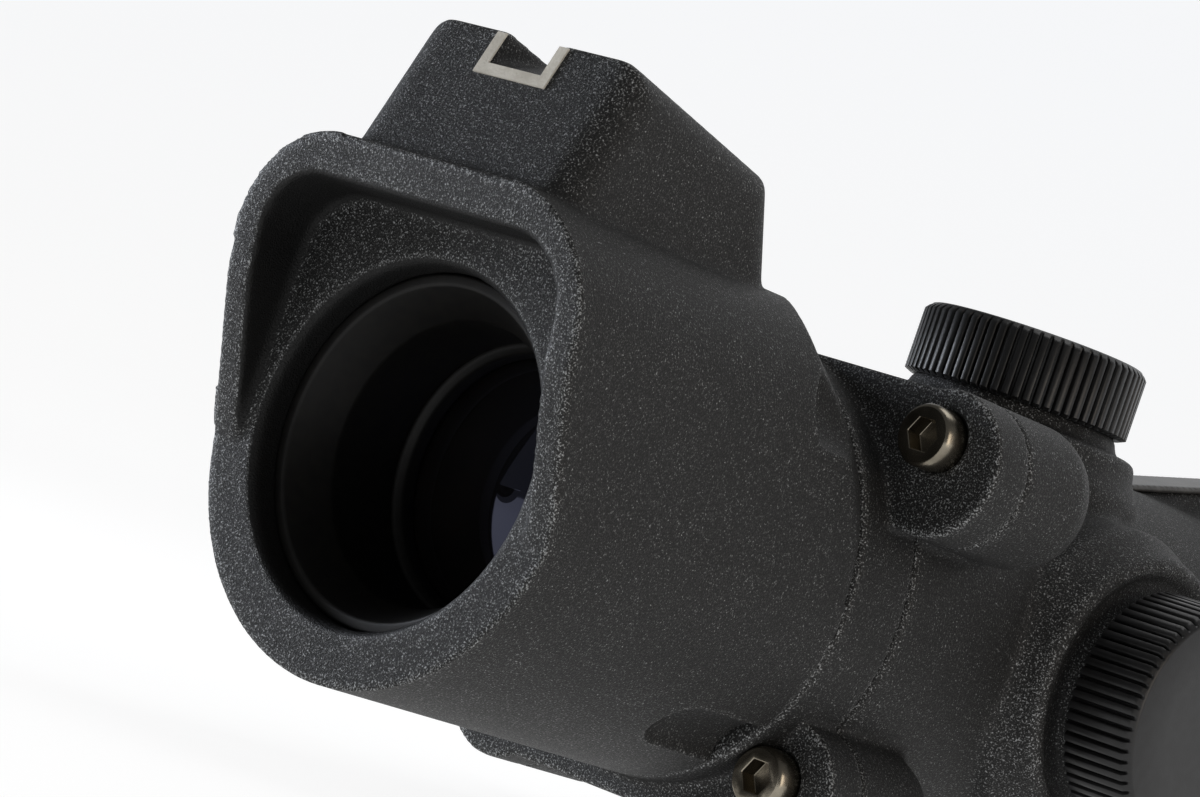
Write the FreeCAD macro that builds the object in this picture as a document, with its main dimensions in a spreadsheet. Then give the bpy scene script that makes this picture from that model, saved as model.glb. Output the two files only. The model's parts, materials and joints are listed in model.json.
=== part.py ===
"""Compact tube dot sight with a hooded eyepiece, open backup sights and capped adjusters.

Frame: +Y is forward (towards the target), +X is right, +Z is up.  The origin is the centre
of the flat foot that bolts to a mount, so the optical axis runs at z = axis_height.
Lengths along the tube are stations: distances forward of the eyepiece face.  Each piece is
drawn about the optical axis, or about its own adjuster's axis, and its Placement carries it
to its place on the foot's frame.
"""
import FreeCAD, Part
import math
import os
import re
import Sketcher

Vector = FreeCAD.Vector
Rotation = FreeCAD.Rotation
Placement = FreeCAD.Placement

DOC = FreeCAD.newDocument("DotSight")
SHEET = DOC.addObject("Spreadsheet::Sheet", "Sizes")

SIZES = {
    # frame and main tube
    "axis_height": 23.5,
    "foot_station": 72.0,
    "tube_radius": 17.3,
    "tube_bore": 14.3,
    "hood_seam": 32.3,
    "flange_seam": 39.1,
    "seam_bevel": 0.35,
    "turret_station": 66.4,
    "bell_start": 90.0,
    "bell_waist": 95.0,
    "bell_full": 106.0,
    "bell_radius": 21.0,
    "bell_end": 141.0,
    "bell_bore": 18.6,
    "bell_floor": 124.0,
    # eyepiece hood
    "hood_half_width": 17.3,
    "hood_top": 19.5,
    "hood_corner": 9.0,
    "brow_tip": 6.2,
    "brow_mid": 4.1,
    "brow_mid_height": 8.0,
    "brow_low_height": 3.5,
    "pocket_half_width": 14.7,
    "pocket_top": 16.3,
    "pocket_corner": 5.0,
    "hood_bore": 13.05,
    "hood_step": 12.0,
    "lens_bore": 12.1,
    "lens_step": 30.0,
    "spigot_bore": 10.6,
    "spigot_radius": 14.9,
    "spigot_end": 36.3,
    "key_relief": 3.7,
    "key_relief_start": 25.0,
    # open rear sight on the hood
    "sight_width": 22.2,
    "sight_base": 18.6,
    "sight_crest": 30.1,
    "sight_rear": 3.7,
    "sight_crest_station": 0.3,
    "sight_front_station": 17.2,
    "sight_front_height": 26.7,
    "sight_toe": 21.0,
    "sight_round": 2.8,
    "notch_width": 5.2,
    "notch_floor": 27.4,
    "notch_ramp": 7.5,
    "notch_end_floor": 29.4,
    "outline_width": 7.0,
    "outline_thickness": 0.15,
    "outline_top_gap": 0.3,
    # flange, its lugs and its screws
    "flange_bore": 15.0,
    "flange_step": 36.5,
    "flange_throat": 13.6,
    "lug_start": 35.2,
    "boss_end": 49.8,
    "upper_lug_out": 18.3,
    "upper_lug_up": 11.9,
    "upper_lug_radius": 5.6,
    "lower_lug_out": 13.9,
    "lower_lug_down": 14.4,
    "lower_lug_radius": 5.4,
    "lug_deck": 17.1,
    "lug_deck_low": 7.8,
    "shoe_drop": 4.6,
    "lug_hollow": 16.95,
    "screw_out": 17.9,
    "screw_up": 13.45,
    "low_screw_out": 13.7,
    "low_screw_down": 13.9,
    "screw_head": 2.38,
    "screw_head_length": 2.6,
    "screw_seat": 35.7,
    "screw_shank": 1.4,
    "screw_hole": 1.5,
    "screw_end": 46.5,
    "screw_socket": 1.19,
    "screw_socket_depth": 1.5,
    "face_groove_outer": 16.9,
    "face_groove_inner": 15.7,
    "face_groove_depth": 0.9,
    # turrets
    "turret_root": 2.0,
    "turret_base": 10.8,
    "turret_flare": 12.0,
    "top_base": 18.4,
    "neck_radius": 8.7,
    "neck_top": 19.55,
    "dish_floor": 19.2,
    "dish_rim": 20.2,
    "dish_bore": 10.3,
    "dish_outer": 11.2,
    "dish_foot": 13.2,
    "collar_radius": 8.0,
    "collar_length": 4.2,
    "dial_bore": 6.6,
    "dial_floor": 16.8,
    "plunger_hole": 1.9,
    "top_cap_start": 19.75,
    "top_cap_height": 5.85,
    "side_cap_start": 20.7,
    "side_cap_height": 6.3,
    "cap_radius": 9.35,
    "cap_bore": 8.35,
    "cap_chamfer": 0.45,
    "cap_roof": 1.2,
    "knurl_depth": 0.42,
    "knurl_count": 66,
    "cap_seal": 7.86,
    "cap_seal_height": 21.1,
    "seal_section": 0.42,
    "seal_groove_width": 1.0,
    "seal_groove_depth": 0.6,
    "dial_radius": 6.5,
    "dial_start": 17.0,
    "dial_step": 20.2,
    "dial_neck": 4.5,
    "dial_top": 22.6,
    "dial_well": 2.0,
    "dial_well_depth": 2.0,
    "coin_slot_width": 1.2,
    "coin_slot_depth": 1.0,
    "click_height": 18.6,
    "click_hole": 0.8,
    "click_hole_start": 3.2,
    "click_spring_start": 3.34,
    "click_ball": 0.72,
    "click_ball_out": 5.72,
    "dial_ring_bore": 4.6,
    "dial_ring_start": 20.3,
    "dial_ring_end": 21.6,
    "plunger_tip": 1.1,
    "plunger_neck": 1.3,
    "plunger_radius": 1.8,
    "plunger_end": 18.2,
    # bellows springs under the click balls
    "bellows_crest": 0.7,
    "bellows_waist": 0.48,
    "bellows_wall": 0.16,
    # foot
    "foot_half_width": 8.0,
    "foot_rear": 50.0,
    "foot_front": 100.0,
    "foot_hole_spacing": 38.0,
    "insert_radius": 3.2,
    "insert_bore": 2.1,
    "insert_length": 7.0,
    # brightness control on the left
    "control_radius": 13.4,
    "control_top": 21.0,
    "control_bore": 11.1,
    "control_floor": 17.4,
    "wire_hole": 1.6,
    "board_start": 17.5,
    "board_radius": 10.9,
    "board_bore": 2.2,
    "board_thickness": 0.8,
    "plate_start": 18.4,
    "plate_radius": 11.0,
    "plate_bore": 4.65,
    "plate_step": 5.9,
    "plate_step_height": 19.2,
    "plate_end": 20.8,
    "plate_screw": 0.8,
    "plate_screw_out": 8.3,
    "plate_screw_slot": 0.24,
    "detent_out": 7.8,
    "detent_start": 19.2,
    "detent_ball": 0.6,
    "detent_ball_height": 20.5,
    "knob_stem": 4.0,
    "knob_stem_start": 18.6,
    "knob_shaft": 4.6,
    "knob_shaft_start": 18.95,
    "knob_start": 21.2,
    "knob_radius": 12.7,
    "knob_end": 29.2,
    "knob_mouth": 11.35,
    "knob_ledge": 27.0,
    "cell_well": 10.2,
    "cell_floor": 22.8,
    "flute_count": 12,
    "flute_radius": 1.7,
    "flute_start": 21.9,
    "snap_ring_radius": 5.6,
    "snap_ring_bore": 4.05,
    "contact_radius": 7.0,
    "contact_bore": 5.8,
    "contact_thickness": 0.4,
    "cell_start": 23.25,
    "cell_end": 26.45,
    "cell_radius": 10.0,
    "cell_terminal": 8.9,
    "cell_cap_start": 26.5,
    "cell_cap_plug": 9.9,
    "cell_cap_radius": 11.2,
    "cell_cap_step": 27.9,
    "cell_cap_end": 29.6,
    "cell_cap_seal": 10.45,
    # moving inner tube
    "pivot_station": 46.0,
    "inner_radius": 10.8,
    "inner_bore": 9.7,
    "inner_rear": 41.5,
    "inner_front": 104.0,
    "gimbal_outer": 13.3,
    "gimbal_inner": 11.6,
    "gimbal_half": 2.4,
    "pivot_pin": 0.8,
    "pivot_clearance": 0.05,
    # light pipe strip on the bell
    "strip_start": 81.0,
    "strip_end": 126.0,
    "strip_half_width": 2.2,
    "strip_low": 16.6,
    "strip_high": 21.85,
    "strip_cover": 0.6,
    "strip_overhang": 0.3,
    "strip_gap": 0.02,
    "strip_root": 14.0,
    "pipe_radius": 1.1,
    "pipe_depth": 1.2,
    "channel_half_width": 1.2,
    # front sight
    "post_station": 133.0,
    "post_top": 29.3,
    "post_half_width": 1.2,
    "post_half_length": 2.5,
    "post_pin": 0.8,
    "post_pin_height": 22.4,
    "post_pin_length": 8.0,
    # eyepiece and front optics
    "bezel_rim": 12.1,
    "bezel_start": 2.2,
    "bezel_inner": 10.4,
    "bezel_cone": 5.6,
    "optic_clearance": 0.1,
    "eye_ring_bore": 9.7,
    "eye_ring_length": 1.7,
    "eye_lens_radius": 11.9,
    "spacer_bore": 10.3,
    "spacer_start": 8.3,
    "spacer_lip": 9.6,
    "spacer_end": 17.9,
    "front_lens_radius": 18.2,
    "front_ring_bore": 16.4,
    "front_ring_start": 5.5,
    "front_ring_end": 9.0,
}

for row, (alias, value) in enumerate(SIZES.items(), start=1):
    SHEET.set(f"A{row}", alias)
    SHEET.set(f"B{row}", str(value))
    SHEET.setAlias(f"B{row}", alias)
DOC.recompute()

ALONG_TUBE = Rotation(Vector(1, 0, 0), -90)
UPWARDS = Rotation()
RIGHTWARDS = Rotation(Vector(0, 1, 0), 90)
LEFTWARDS = Rotation(Vector(0, 1, 0), -90)

NODES = {}


def bound(formula):
    """Turn each alias in a formula into a reference to its cell in the sheet."""
    if isinstance(formula, (int, float)):
        return f"{formula:.6f}"
    return re.sub(r"[a-z][a-z_]*", lambda word: "Sizes." + word.group(0), formula)


def keep(piece, label, rotation=UPWARDS, station="0"):
    """Give a finished piece its label and carry it from the optical axis to the foot's frame."""
    piece.Label = label
    piece.Placement = Placement(Vector(), rotation)
    piece.setExpression("Placement.Base.y", bound(f"{station} - foot_station"))
    piece.setExpression("Placement.Base.z", bound("axis_height"))
    NODES[label] = piece
    return piece


def outline(sketch, corners):
    """Draw a closed outline whose corners are bound to formulas for their two coordinates."""
    count = len(corners)
    for i in range(count):
        turn, following = 2 * math.pi * i / count, 2 * math.pi * (i + 1) / count
        start = Vector(30 + math.cos(turn), 30 + math.sin(turn), 0)
        end = Vector(30 + math.cos(following), 30 + math.sin(following), 0)
        sketch.addGeometry(Part.LineSegment(start, end), False)
    for i in range(count):
        sketch.addConstraint(Sketcher.Constraint("Coincident", i, 2, (i + 1) % count, 1))
    for i, (across, up) in enumerate(corners):
        for direction, formula in (("DistanceX", across), ("DistanceY", up)):
            number = sketch.addConstraint(Sketcher.Constraint(direction, -1, 1, i, 1, 30.0))
            sketch.setExpression(f"Constraints[{number}]", bound(formula))


def origin_plane(body, role):
    """Find one of a body's own origin planes by its role."""
    return next(item for item in body.Origin.OriginFeatures if item.Role == role)


def profile_sketch(name):
    """Start a body with an empty sketch on its XZ plane, where X is radius and Z is height."""
    body = DOC.addObject("PartDesign::Body", name)
    sketch = body.newObject("Sketcher::SketchObject", name + "_profile")
    sketch.AttachmentSupport = [(origin_plane(body, "XZ_Plane"), "")]
    sketch.MapMode = "FlatFace"
    return body, sketch


def revolve(body, sketch):
    """Turn a body's profile a full circle about the body's Z axis."""
    turn = body.newObject("PartDesign::Revolution", body.Name + "_turn")
    turn.Profile = sketch
    turn.ReferenceAxis = (sketch, ["V_Axis"])
    turn.Angle = 360
    body.Tip = turn
    return body


def turned(name, profile):
    """Turn a closed outline of (radius, height) corners."""
    body, sketch = profile_sketch(name)
    outline(sketch, profile)
    return revolve(body, sketch)


def ring(name, outer, inner, start, end, bevel="0"):
    """Turn a plain ring, with its outer edges bevelled if a bevel is given."""
    profile = [(inner, start), (f"{outer} - {bevel}", start), (outer, f"{start} + {bevel}"),
               (outer, f"{end} - {bevel}"), (f"{outer} - {bevel}", end), (inner, end)]
    if bevel == "0":
        profile = [(inner, start), (outer, start), (outer, end), (inner, end)]
    return turned(name, profile)


def lens(name, radius, rear_edge, front_edge, rear_bulge, front_bulge):
    """Turn a lens whose faces are true spheres that pass its edge by the two bulges."""
    def on_sphere(bulge, distance):
        ball_radius = (radius ** 2 + bulge ** 2) / (2 * bulge)
        return bulge - ball_radius + math.sqrt(ball_radius ** 2 - distance ** 2)
    body, sketch = profile_sketch(name)
    halfway = radius / 2
    rear_rim, front_rim = Vector(radius, rear_edge, 0), Vector(radius, front_edge, 0)
    rear_pole = Vector(0, rear_edge - rear_bulge, 0)
    front_pole = Vector(0, front_edge + front_bulge, 0)
    rear_middle = Vector(halfway, rear_edge - on_sphere(rear_bulge, halfway), 0)
    front_middle = Vector(halfway, front_edge + on_sphere(front_bulge, halfway), 0)
    sketch.addGeometry(Part.Arc(rear_pole, rear_middle, rear_rim), False)
    sketch.addGeometry(Part.LineSegment(rear_rim, front_rim), False)
    sketch.addGeometry(Part.Arc(front_rim, front_middle, front_pole), False)
    sketch.addGeometry(Part.LineSegment(front_pole, rear_pole), False)
    return revolve(body, sketch)


def o_ring(name, mean_radius, section_radius, height):
    """Turn a rubber ring of round section."""
    body, sketch = profile_sketch(name)
    sketch.addGeometry(Part.Circle(Vector(mean_radius, height, 0), Vector(0, 0, 1), section_radius), False)
    return revolve(body, sketch)


def placed(solid, x=0, y=0, z=0, rotation=UPWARDS):
    """Put a primitive at a place given by numbers or formulas."""
    solid.Placement = Placement(Vector(), rotation)
    for letter, formula in (("x", x), ("y", y), ("z", z)):
        solid.setExpression(f"Placement.Base.{letter}", bound(formula))
    return solid


def rod(name, radius, length, x=0, y=0, z=0, rotation=ALONG_TUBE):
    """A cylinder that starts at a point and runs along the rotated Z axis."""
    cylinder = DOC.addObject("Part::Cylinder", name)
    cylinder.setExpression("Radius", bound(radius))
    cylinder.setExpression("Height", bound(length))
    return placed(cylinder, x, y, z, rotation)


def block(name, low, high, rotation=UPWARDS):
    """A box between two corners, each given as three formulas."""
    box = DOC.addObject("Part::Box", name)
    for side, near, far in zip(("Length", "Width", "Height"), low, high):
        box.setExpression(side, bound(f"({far}) - ({near})"))
    return placed(box, *low, rotation=rotation)


def ball(name, radius, x=0, y=0, z=0):
    """A whole sphere about a point."""
    sphere = DOC.addObject("Part::Sphere", name)
    sphere.setExpression("Radius", bound(radius))
    return placed(sphere, x, y, z)


def prism(name, corners, half_width):
    """Extrude an outline of (station, height) corners equally to both sides of the middle plane."""
    sketch = DOC.addObject("Sketcher::SketchObject", name + "_outline")
    sketch.Placement = Placement(Vector(), Rotation(Vector(1, 1, 1), 120))
    outline(sketch, corners)
    extrusion = DOC.addObject("Part::Extrusion", name)
    extrusion.Base = sketch
    extrusion.DirMode = "Custom"
    extrusion.Dir = Vector(1, 0, 0)
    extrusion.setExpression("LengthFwd", bound(f"2 * ({half_width})"))
    extrusion.Symmetric = True
    extrusion.Solid = True
    return extrusion


def joined(name, pieces):
    """Fuse solids into one casting."""
    fuse = DOC.addObject("Part::MultiFuse", name)
    fuse.Shapes = pieces
    return fuse


def shared(name, first, second):
    """Keep only what two solids share."""
    common = DOC.addObject("Part::Common", name)
    common.Base = first
    common.Tool = second
    return common


def cut(name, solid, tools):
    """Cut one or more tools out of a solid."""
    difference = DOC.addObject("Part::Cut", name)
    difference.Base = solid
    difference.Tool = tools[0] if len(tools) == 1 else joined(name + "_tools", tools)
    return difference


def group(name, pieces):
    """Hold identical loose pieces together as one node."""
    compound = DOC.addObject("Part::Compound", name)
    compound.Links = pieces
    return compound


def softened(name, solid, kind, size, chosen):
    """Fillet or chamfer the edges of a solid that a test on each edge's box picks out."""
    DOC.recompute()
    feature = DOC.addObject("Part::" + kind, name)
    feature.Base = solid
    feature.Edges = [(number, size, size) for number, edge in enumerate(solid.Shape.Edges, start=1)
                     if chosen(edge.BoundBox)]
    return feature


def lug_places():
    """Centre and radius of each of the four lugs beside the tube."""
    return [(f"{side} * {out}", up, radius) for side in (1, -1)
            for out, up, radius in (("upper_lug_out", "upper_lug_up", "upper_lug_radius"),
                                    ("lower_lug_out", "-lower_lug_down", "lower_lug_radius"))]


def screw_places():
    """Centre of each of the four flange screws."""
    return [(f"{side} * {out}", up) for side in (1, -1)
            for out, up in (("screw_out", "screw_up"), ("low_screw_out", "-low_screw_down"))]


def lug_bridges(name, start, end):
    """The flat deck that joins the upper lugs over the tube, and the shoe under the lower pair."""
    deck = block(name + "_deck", ("-upper_lug_out", start, "lug_deck_low"), ("upper_lug_out", end, "lug_deck"))
    shoe = block(name + "_shoe", ("-lower_lug_out", start, "-lower_lug_down - shoe_drop"),
                 ("lower_lug_out", end, "-lower_lug_down + 2"))
    return [deck, shoe]


# ---------------------------------------------------------------- eyepiece hood and rear sight

def hood_shell():
    """The hood's outside: round below, a rounded square above, drawn in to a circle forward."""
    barrel = rod("hood_barrel", "tube_radius", "hood_seam + brow_tip", y="-brow_tip")
    crown = block("hood_crown", ("-hood_half_width", "-brow_tip", 0),
                  ("hood_half_width", "hood_seam", "hood_top"))
    round_crown = softened("hood_round_crown", crown, "Fillet", SIZES["hood_corner"],
                           lambda box: box.ZMin > 1 and box.XLength < 1 and box.YLength > 1)
    shell = joined("hood_blank", [barrel, round_crown])
    envelope = turned("hood_envelope", [
        ("0", "-brow_tip - 1"), ("26", "-brow_tip - 1"), ("24", "hood_seam - 15"),
        ("21.6", "hood_seam - 9.5"), ("20.6", "hood_seam - 6.9"), ("19.2", "hood_seam - 4"),
        ("17.6", "hood_seam - 1"), ("tube_radius - seam_bevel", "hood_seam"), ("0", "hood_seam")])
    envelope.Placement = Placement(Vector(), ALONG_TUBE)
    return shared("hood_form", shell, envelope)


def rear_sight_block():
    """The wedge on the hood that carries the rear notch."""
    wedge = prism("rear_sight_wedge", [
        ("-sight_rear", "sight_base"), ("sight_crest_station", "sight_crest"),
        ("sight_front_station", "sight_front_height"), ("sight_toe", "sight_base")],
        "sight_width / 2")
    return softened("rear_sight_block", wedge, "Fillet", SIZES["sight_round"],
                    lambda box: box.XLength < 0.1 and box.ZMax > SIZES["sight_front_height"] - 0.1)


def rear_hood():
    """The eyepiece housing: hood, brow pocket, stepped bore, spigot, key reliefs and notch."""
    spigot = rod("hood_spigot", "spigot_radius", "spigot_end - hood_seam + 1", y="hood_seam - 1")
    blank = joined("hood_casting", [hood_shell(), rear_sight_block(), spigot])
    rim = prism("brow_rim", [
        ("0", "-tube_radius - 1"), ("0", "-brow_low_height"), ("-brow_mid", "brow_mid_height"),
        ("-brow_tip", "hood_top + 0.1"), ("-brow_tip - 9", "hood_top + 0.1"),
        ("-brow_tip - 9", "-tube_radius - 1")], "tube_radius + 1")
    pocket = block("brow_pocket", ("-pocket_half_width", "-brow_tip - 1", "-pocket_half_width"),
                   ("pocket_half_width", 0, "pocket_top"))
    round_pocket = softened("brow_round_pocket", pocket, "Fillet", SIZES["pocket_corner"],
                            lambda box: box.ZMin > 1 and box.XLength < 1 and box.YLength > 1)
    bores = turned("hood_bores", [
        ("0", "-1"), ("hood_bore + 1.4", "-1"), ("hood_bore", "0.4"), ("hood_bore", "hood_step"),
        ("lens_bore", "hood_step"), ("lens_bore", "lens_step"), ("spigot_bore", "lens_step"),
        ("spigot_bore", "spigot_end + 1"), ("0", "spigot_end + 1")])
    bores.Placement = Placement(Vector(), ALONG_TUBE)
    notch = prism("rear_notch", [
        ("-6", "notch_floor"), ("-sight_rear / 4", "notch_floor"), ("notch_ramp", "notch_end_floor"),
        ("notch_ramp + 1", "sight_crest + 1"), ("-6", "sight_crest + 1")], "notch_width / 2")
    reliefs = []
    for number, (x, z) in enumerate(screw_places()):
        reliefs.append(rod(f"key_relief_{number}", "key_relief", 20, x, "key_relief_start", z))
        reliefs.append(ball(f"key_relief_end_{number}", "key_relief", x, "key_relief_start", z))
    return keep(cut("rear_hood", blank, [rim, round_pocket, bores, notch] + reliefs), "rear_hood")


def notch_outline():
    """The white painted frame around the notch, lying on the block's sloping rear face."""
    rise = SIZES["sight_crest"] - SIZES["sight_base"]
    run = SIZES["sight_rear"] + SIZES["sight_crest_station"]
    lean = Rotation(Vector(1, 0, 0), -math.degrees(math.atan2(run, rise)))
    slope = math.hypot(rise, run)
    top = slope - SIZES["outline_top_gap"]
    floor = (SIZES["notch_floor"] - SIZES["sight_base"]) * slope / rise
    stripe = (SIZES["outline_width"] - SIZES["notch_width"]) / 2
    thickness = SIZES["outline_thickness"]
    frame = Part.makeBox(SIZES["outline_width"], thickness, top - floor + stripe,
                         Vector(-SIZES["outline_width"] / 2, -thickness, floor - stripe))
    gap = Part.makeBox(SIZES["notch_width"], 3 * thickness, top - floor + 1,
                       Vector(-SIZES["notch_width"] / 2, -2 * thickness, floor))
    paint = frame.cut(gap)
    paint.Placement = Placement(Vector(0, -SIZES["sight_rear"], SIZES["sight_base"]), lean)
    feature = DOC.addObject("Part::Feature", "notch_outline")
    feature.Shape = paint.copy()
    feature.Label = "notch_outline"
    offset = Vector(0, -SIZES["foot_station"], SIZES["axis_height"])
    feature.Placement = Placement(offset, UPWARDS).multiply(paint.Placement)
    NODES["notch_outline"] = feature


# ---------------------------------------------------------------- flange, screws and main body

def clamp_flange():
    """The ring that the screws pull against the main body, with four screw lugs."""
    blank = turned("flange_ring", [
        ("flange_bore", "hood_seam"), ("tube_radius - seam_bevel", "hood_seam"),
        ("tube_radius", "hood_seam + seam_bevel"), ("tube_radius", "flange_seam - seam_bevel"),
        ("tube_radius - seam_bevel", "flange_seam"), ("face_groove_outer", "flange_seam"),
        ("face_groove_outer", "flange_seam - face_groove_depth"),
        ("face_groove_inner", "flange_seam - face_groove_depth"), ("face_groove_inner", "flange_seam"),
        ("flange_throat", "flange_seam"), ("flange_throat", "flange_step"),
        ("flange_bore", "flange_step")])
    blank.Placement = Placement(Vector(), ALONG_TUBE)
    lugs = [rod(f"flange_lug_{n}", radius, "flange_seam - lug_start", x, "lug_start", z)
            for n, (x, z, radius) in enumerate(lug_places())]
    lugs = joined("flange_lugs", lugs + lug_bridges("flange", "lug_start", "flange_seam"))
    hollow = rod("flange_hollow", "lug_hollow", 10, y="lug_start - 1")
    solid = joined("flange_casting", [blank, cut("flange_lug_ring", lugs, [hollow])])
    holes = [rod(f"flange_screw_hole_{n}", "screw_hole", 12, x, "lug_start - 2", z)
             for n, (x, z) in enumerate(screw_places())]
    seats = [rod(f"flange_screw_seat_{n}", "screw_head + 0.12", "screw_seat - lug_start + 2", x,
                 "lug_start - 2", z)
             for n, (x, z) in enumerate(screw_places())]
    return keep(cut("clamp_flange", solid, holes + seats), "clamp_flange")


def flange_screws():
    """Four socket-head cap screws that hold the eyepiece end on."""
    screws = []
    for n, (x, z) in enumerate(screw_places()):
        shape = turned(f"screw_blank_{n}", [
            ("0", "screw_seat - screw_head_length"), ("screw_head - 0.25", "screw_seat - screw_head_length"),
            ("screw_head", "screw_seat - screw_head_length + 0.3"), ("screw_head", "screw_seat"),
            ("screw_shank", "screw_seat"), ("screw_shank", "screw_end - 0.4"),
            ("screw_shank - 0.4", "screw_end"), ("0", "screw_end")])
        placed(shape, x, 0, z, ALONG_TUBE)
        socket = DOC.addObject("Part::Prism", f"screw_socket_{n}")
        socket.Polygon = 6
        socket.setExpression("Circumradius", bound("screw_socket / 0.866"))
        socket.Height = SIZES["screw_socket_depth"] + 1
        placed(socket, x, "screw_seat - screw_head_length - 1", z, ALONG_TUBE)
        screws.append(cut(f"screw_{n}", shape, [socket]))
    return keep(group("flange_screws", screws), "flange_screws")


def turret_castings():
    """The round top base and collar, the dished side boss and collar, and the left boss."""
    collar = [("collar_radius", "dish_floor + collar_length"), ("0", "dish_floor + collar_length + 0.6")]
    top = turned("top_turret_form", [
        ("0", "turret_root"), ("turret_flare", "turret_root"), ("turret_flare", "top_base - 3.4"),
        ("turret_base", "top_base - 1.4"), ("turret_base", "top_base - 0.5"),
        ("turret_base - 0.5", "top_base"), ("neck_radius", "top_base"), ("neck_radius", "neck_top"),
        ("collar_radius", "neck_top")] + collar)
    side = turned("side_turret_form", [
        ("0", "turret_root"), ("dish_foot", "turret_root"), ("dish_foot", "dish_floor - 2.8"),
        ("dish_foot - 1", "dish_floor - 1"), ("dish_outer + 0.5", "dish_rim - 0.5"),
        ("dish_outer - 0.1", "dish_rim"), ("dish_bore", "dish_rim - 0.3"),
        ("dish_bore", "dish_floor"), ("collar_radius", "dish_floor")] + collar)
    left = turned("left_boss_form", [
        ("0", "turret_root"), ("control_radius", "turret_root"), ("control_radius", "control_top - 0.8"),
        ("control_radius - 0.8", "control_top"), ("0", "control_top")])
    placed(top, 0, "turret_station", 0, UPWARDS)
    placed(side, 0, "turret_station", 0, RIGHTWARDS)
    placed(left, 0, "turret_station", 0, LEFTWARDS)
    return [top, side, left]


def turret_bores():
    """The stepped holes for the two dials and plungers, and for the brightness control."""
    tools = []
    for name, rotation in (("top", UPWARDS), ("side", RIGHTWARDS)):
        bore = turned(name + "_turret_bore", [
            ("0", "10"), ("plunger_hole", "10"), ("plunger_hole", "dial_floor"),
            ("dial_bore", "dial_floor"), ("dial_bore", "25"), ("0", "25")])
        groove = ring(name + "_seal_groove", "collar_radius + 1", "collar_radius - seal_groove_depth",
                      "cap_seal_height - seal_groove_width / 2", "cap_seal_height + seal_groove_width / 2")
        tools += [placed(bore, 0, "turret_station", 0, rotation),
                  placed(groove, 0, "turret_station", 0, rotation)]
    control = turned("left_boss_bore", [
        ("0", "10"), ("wire_hole", "10"), ("wire_hole", "control_floor"), ("control_bore", "control_floor"),
        ("control_bore", "control_top + 1"), ("0", "control_top + 1")])
    tools.append(placed(control, 0, "turret_station", 0, LEFTWARDS))
    return tools


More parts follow.
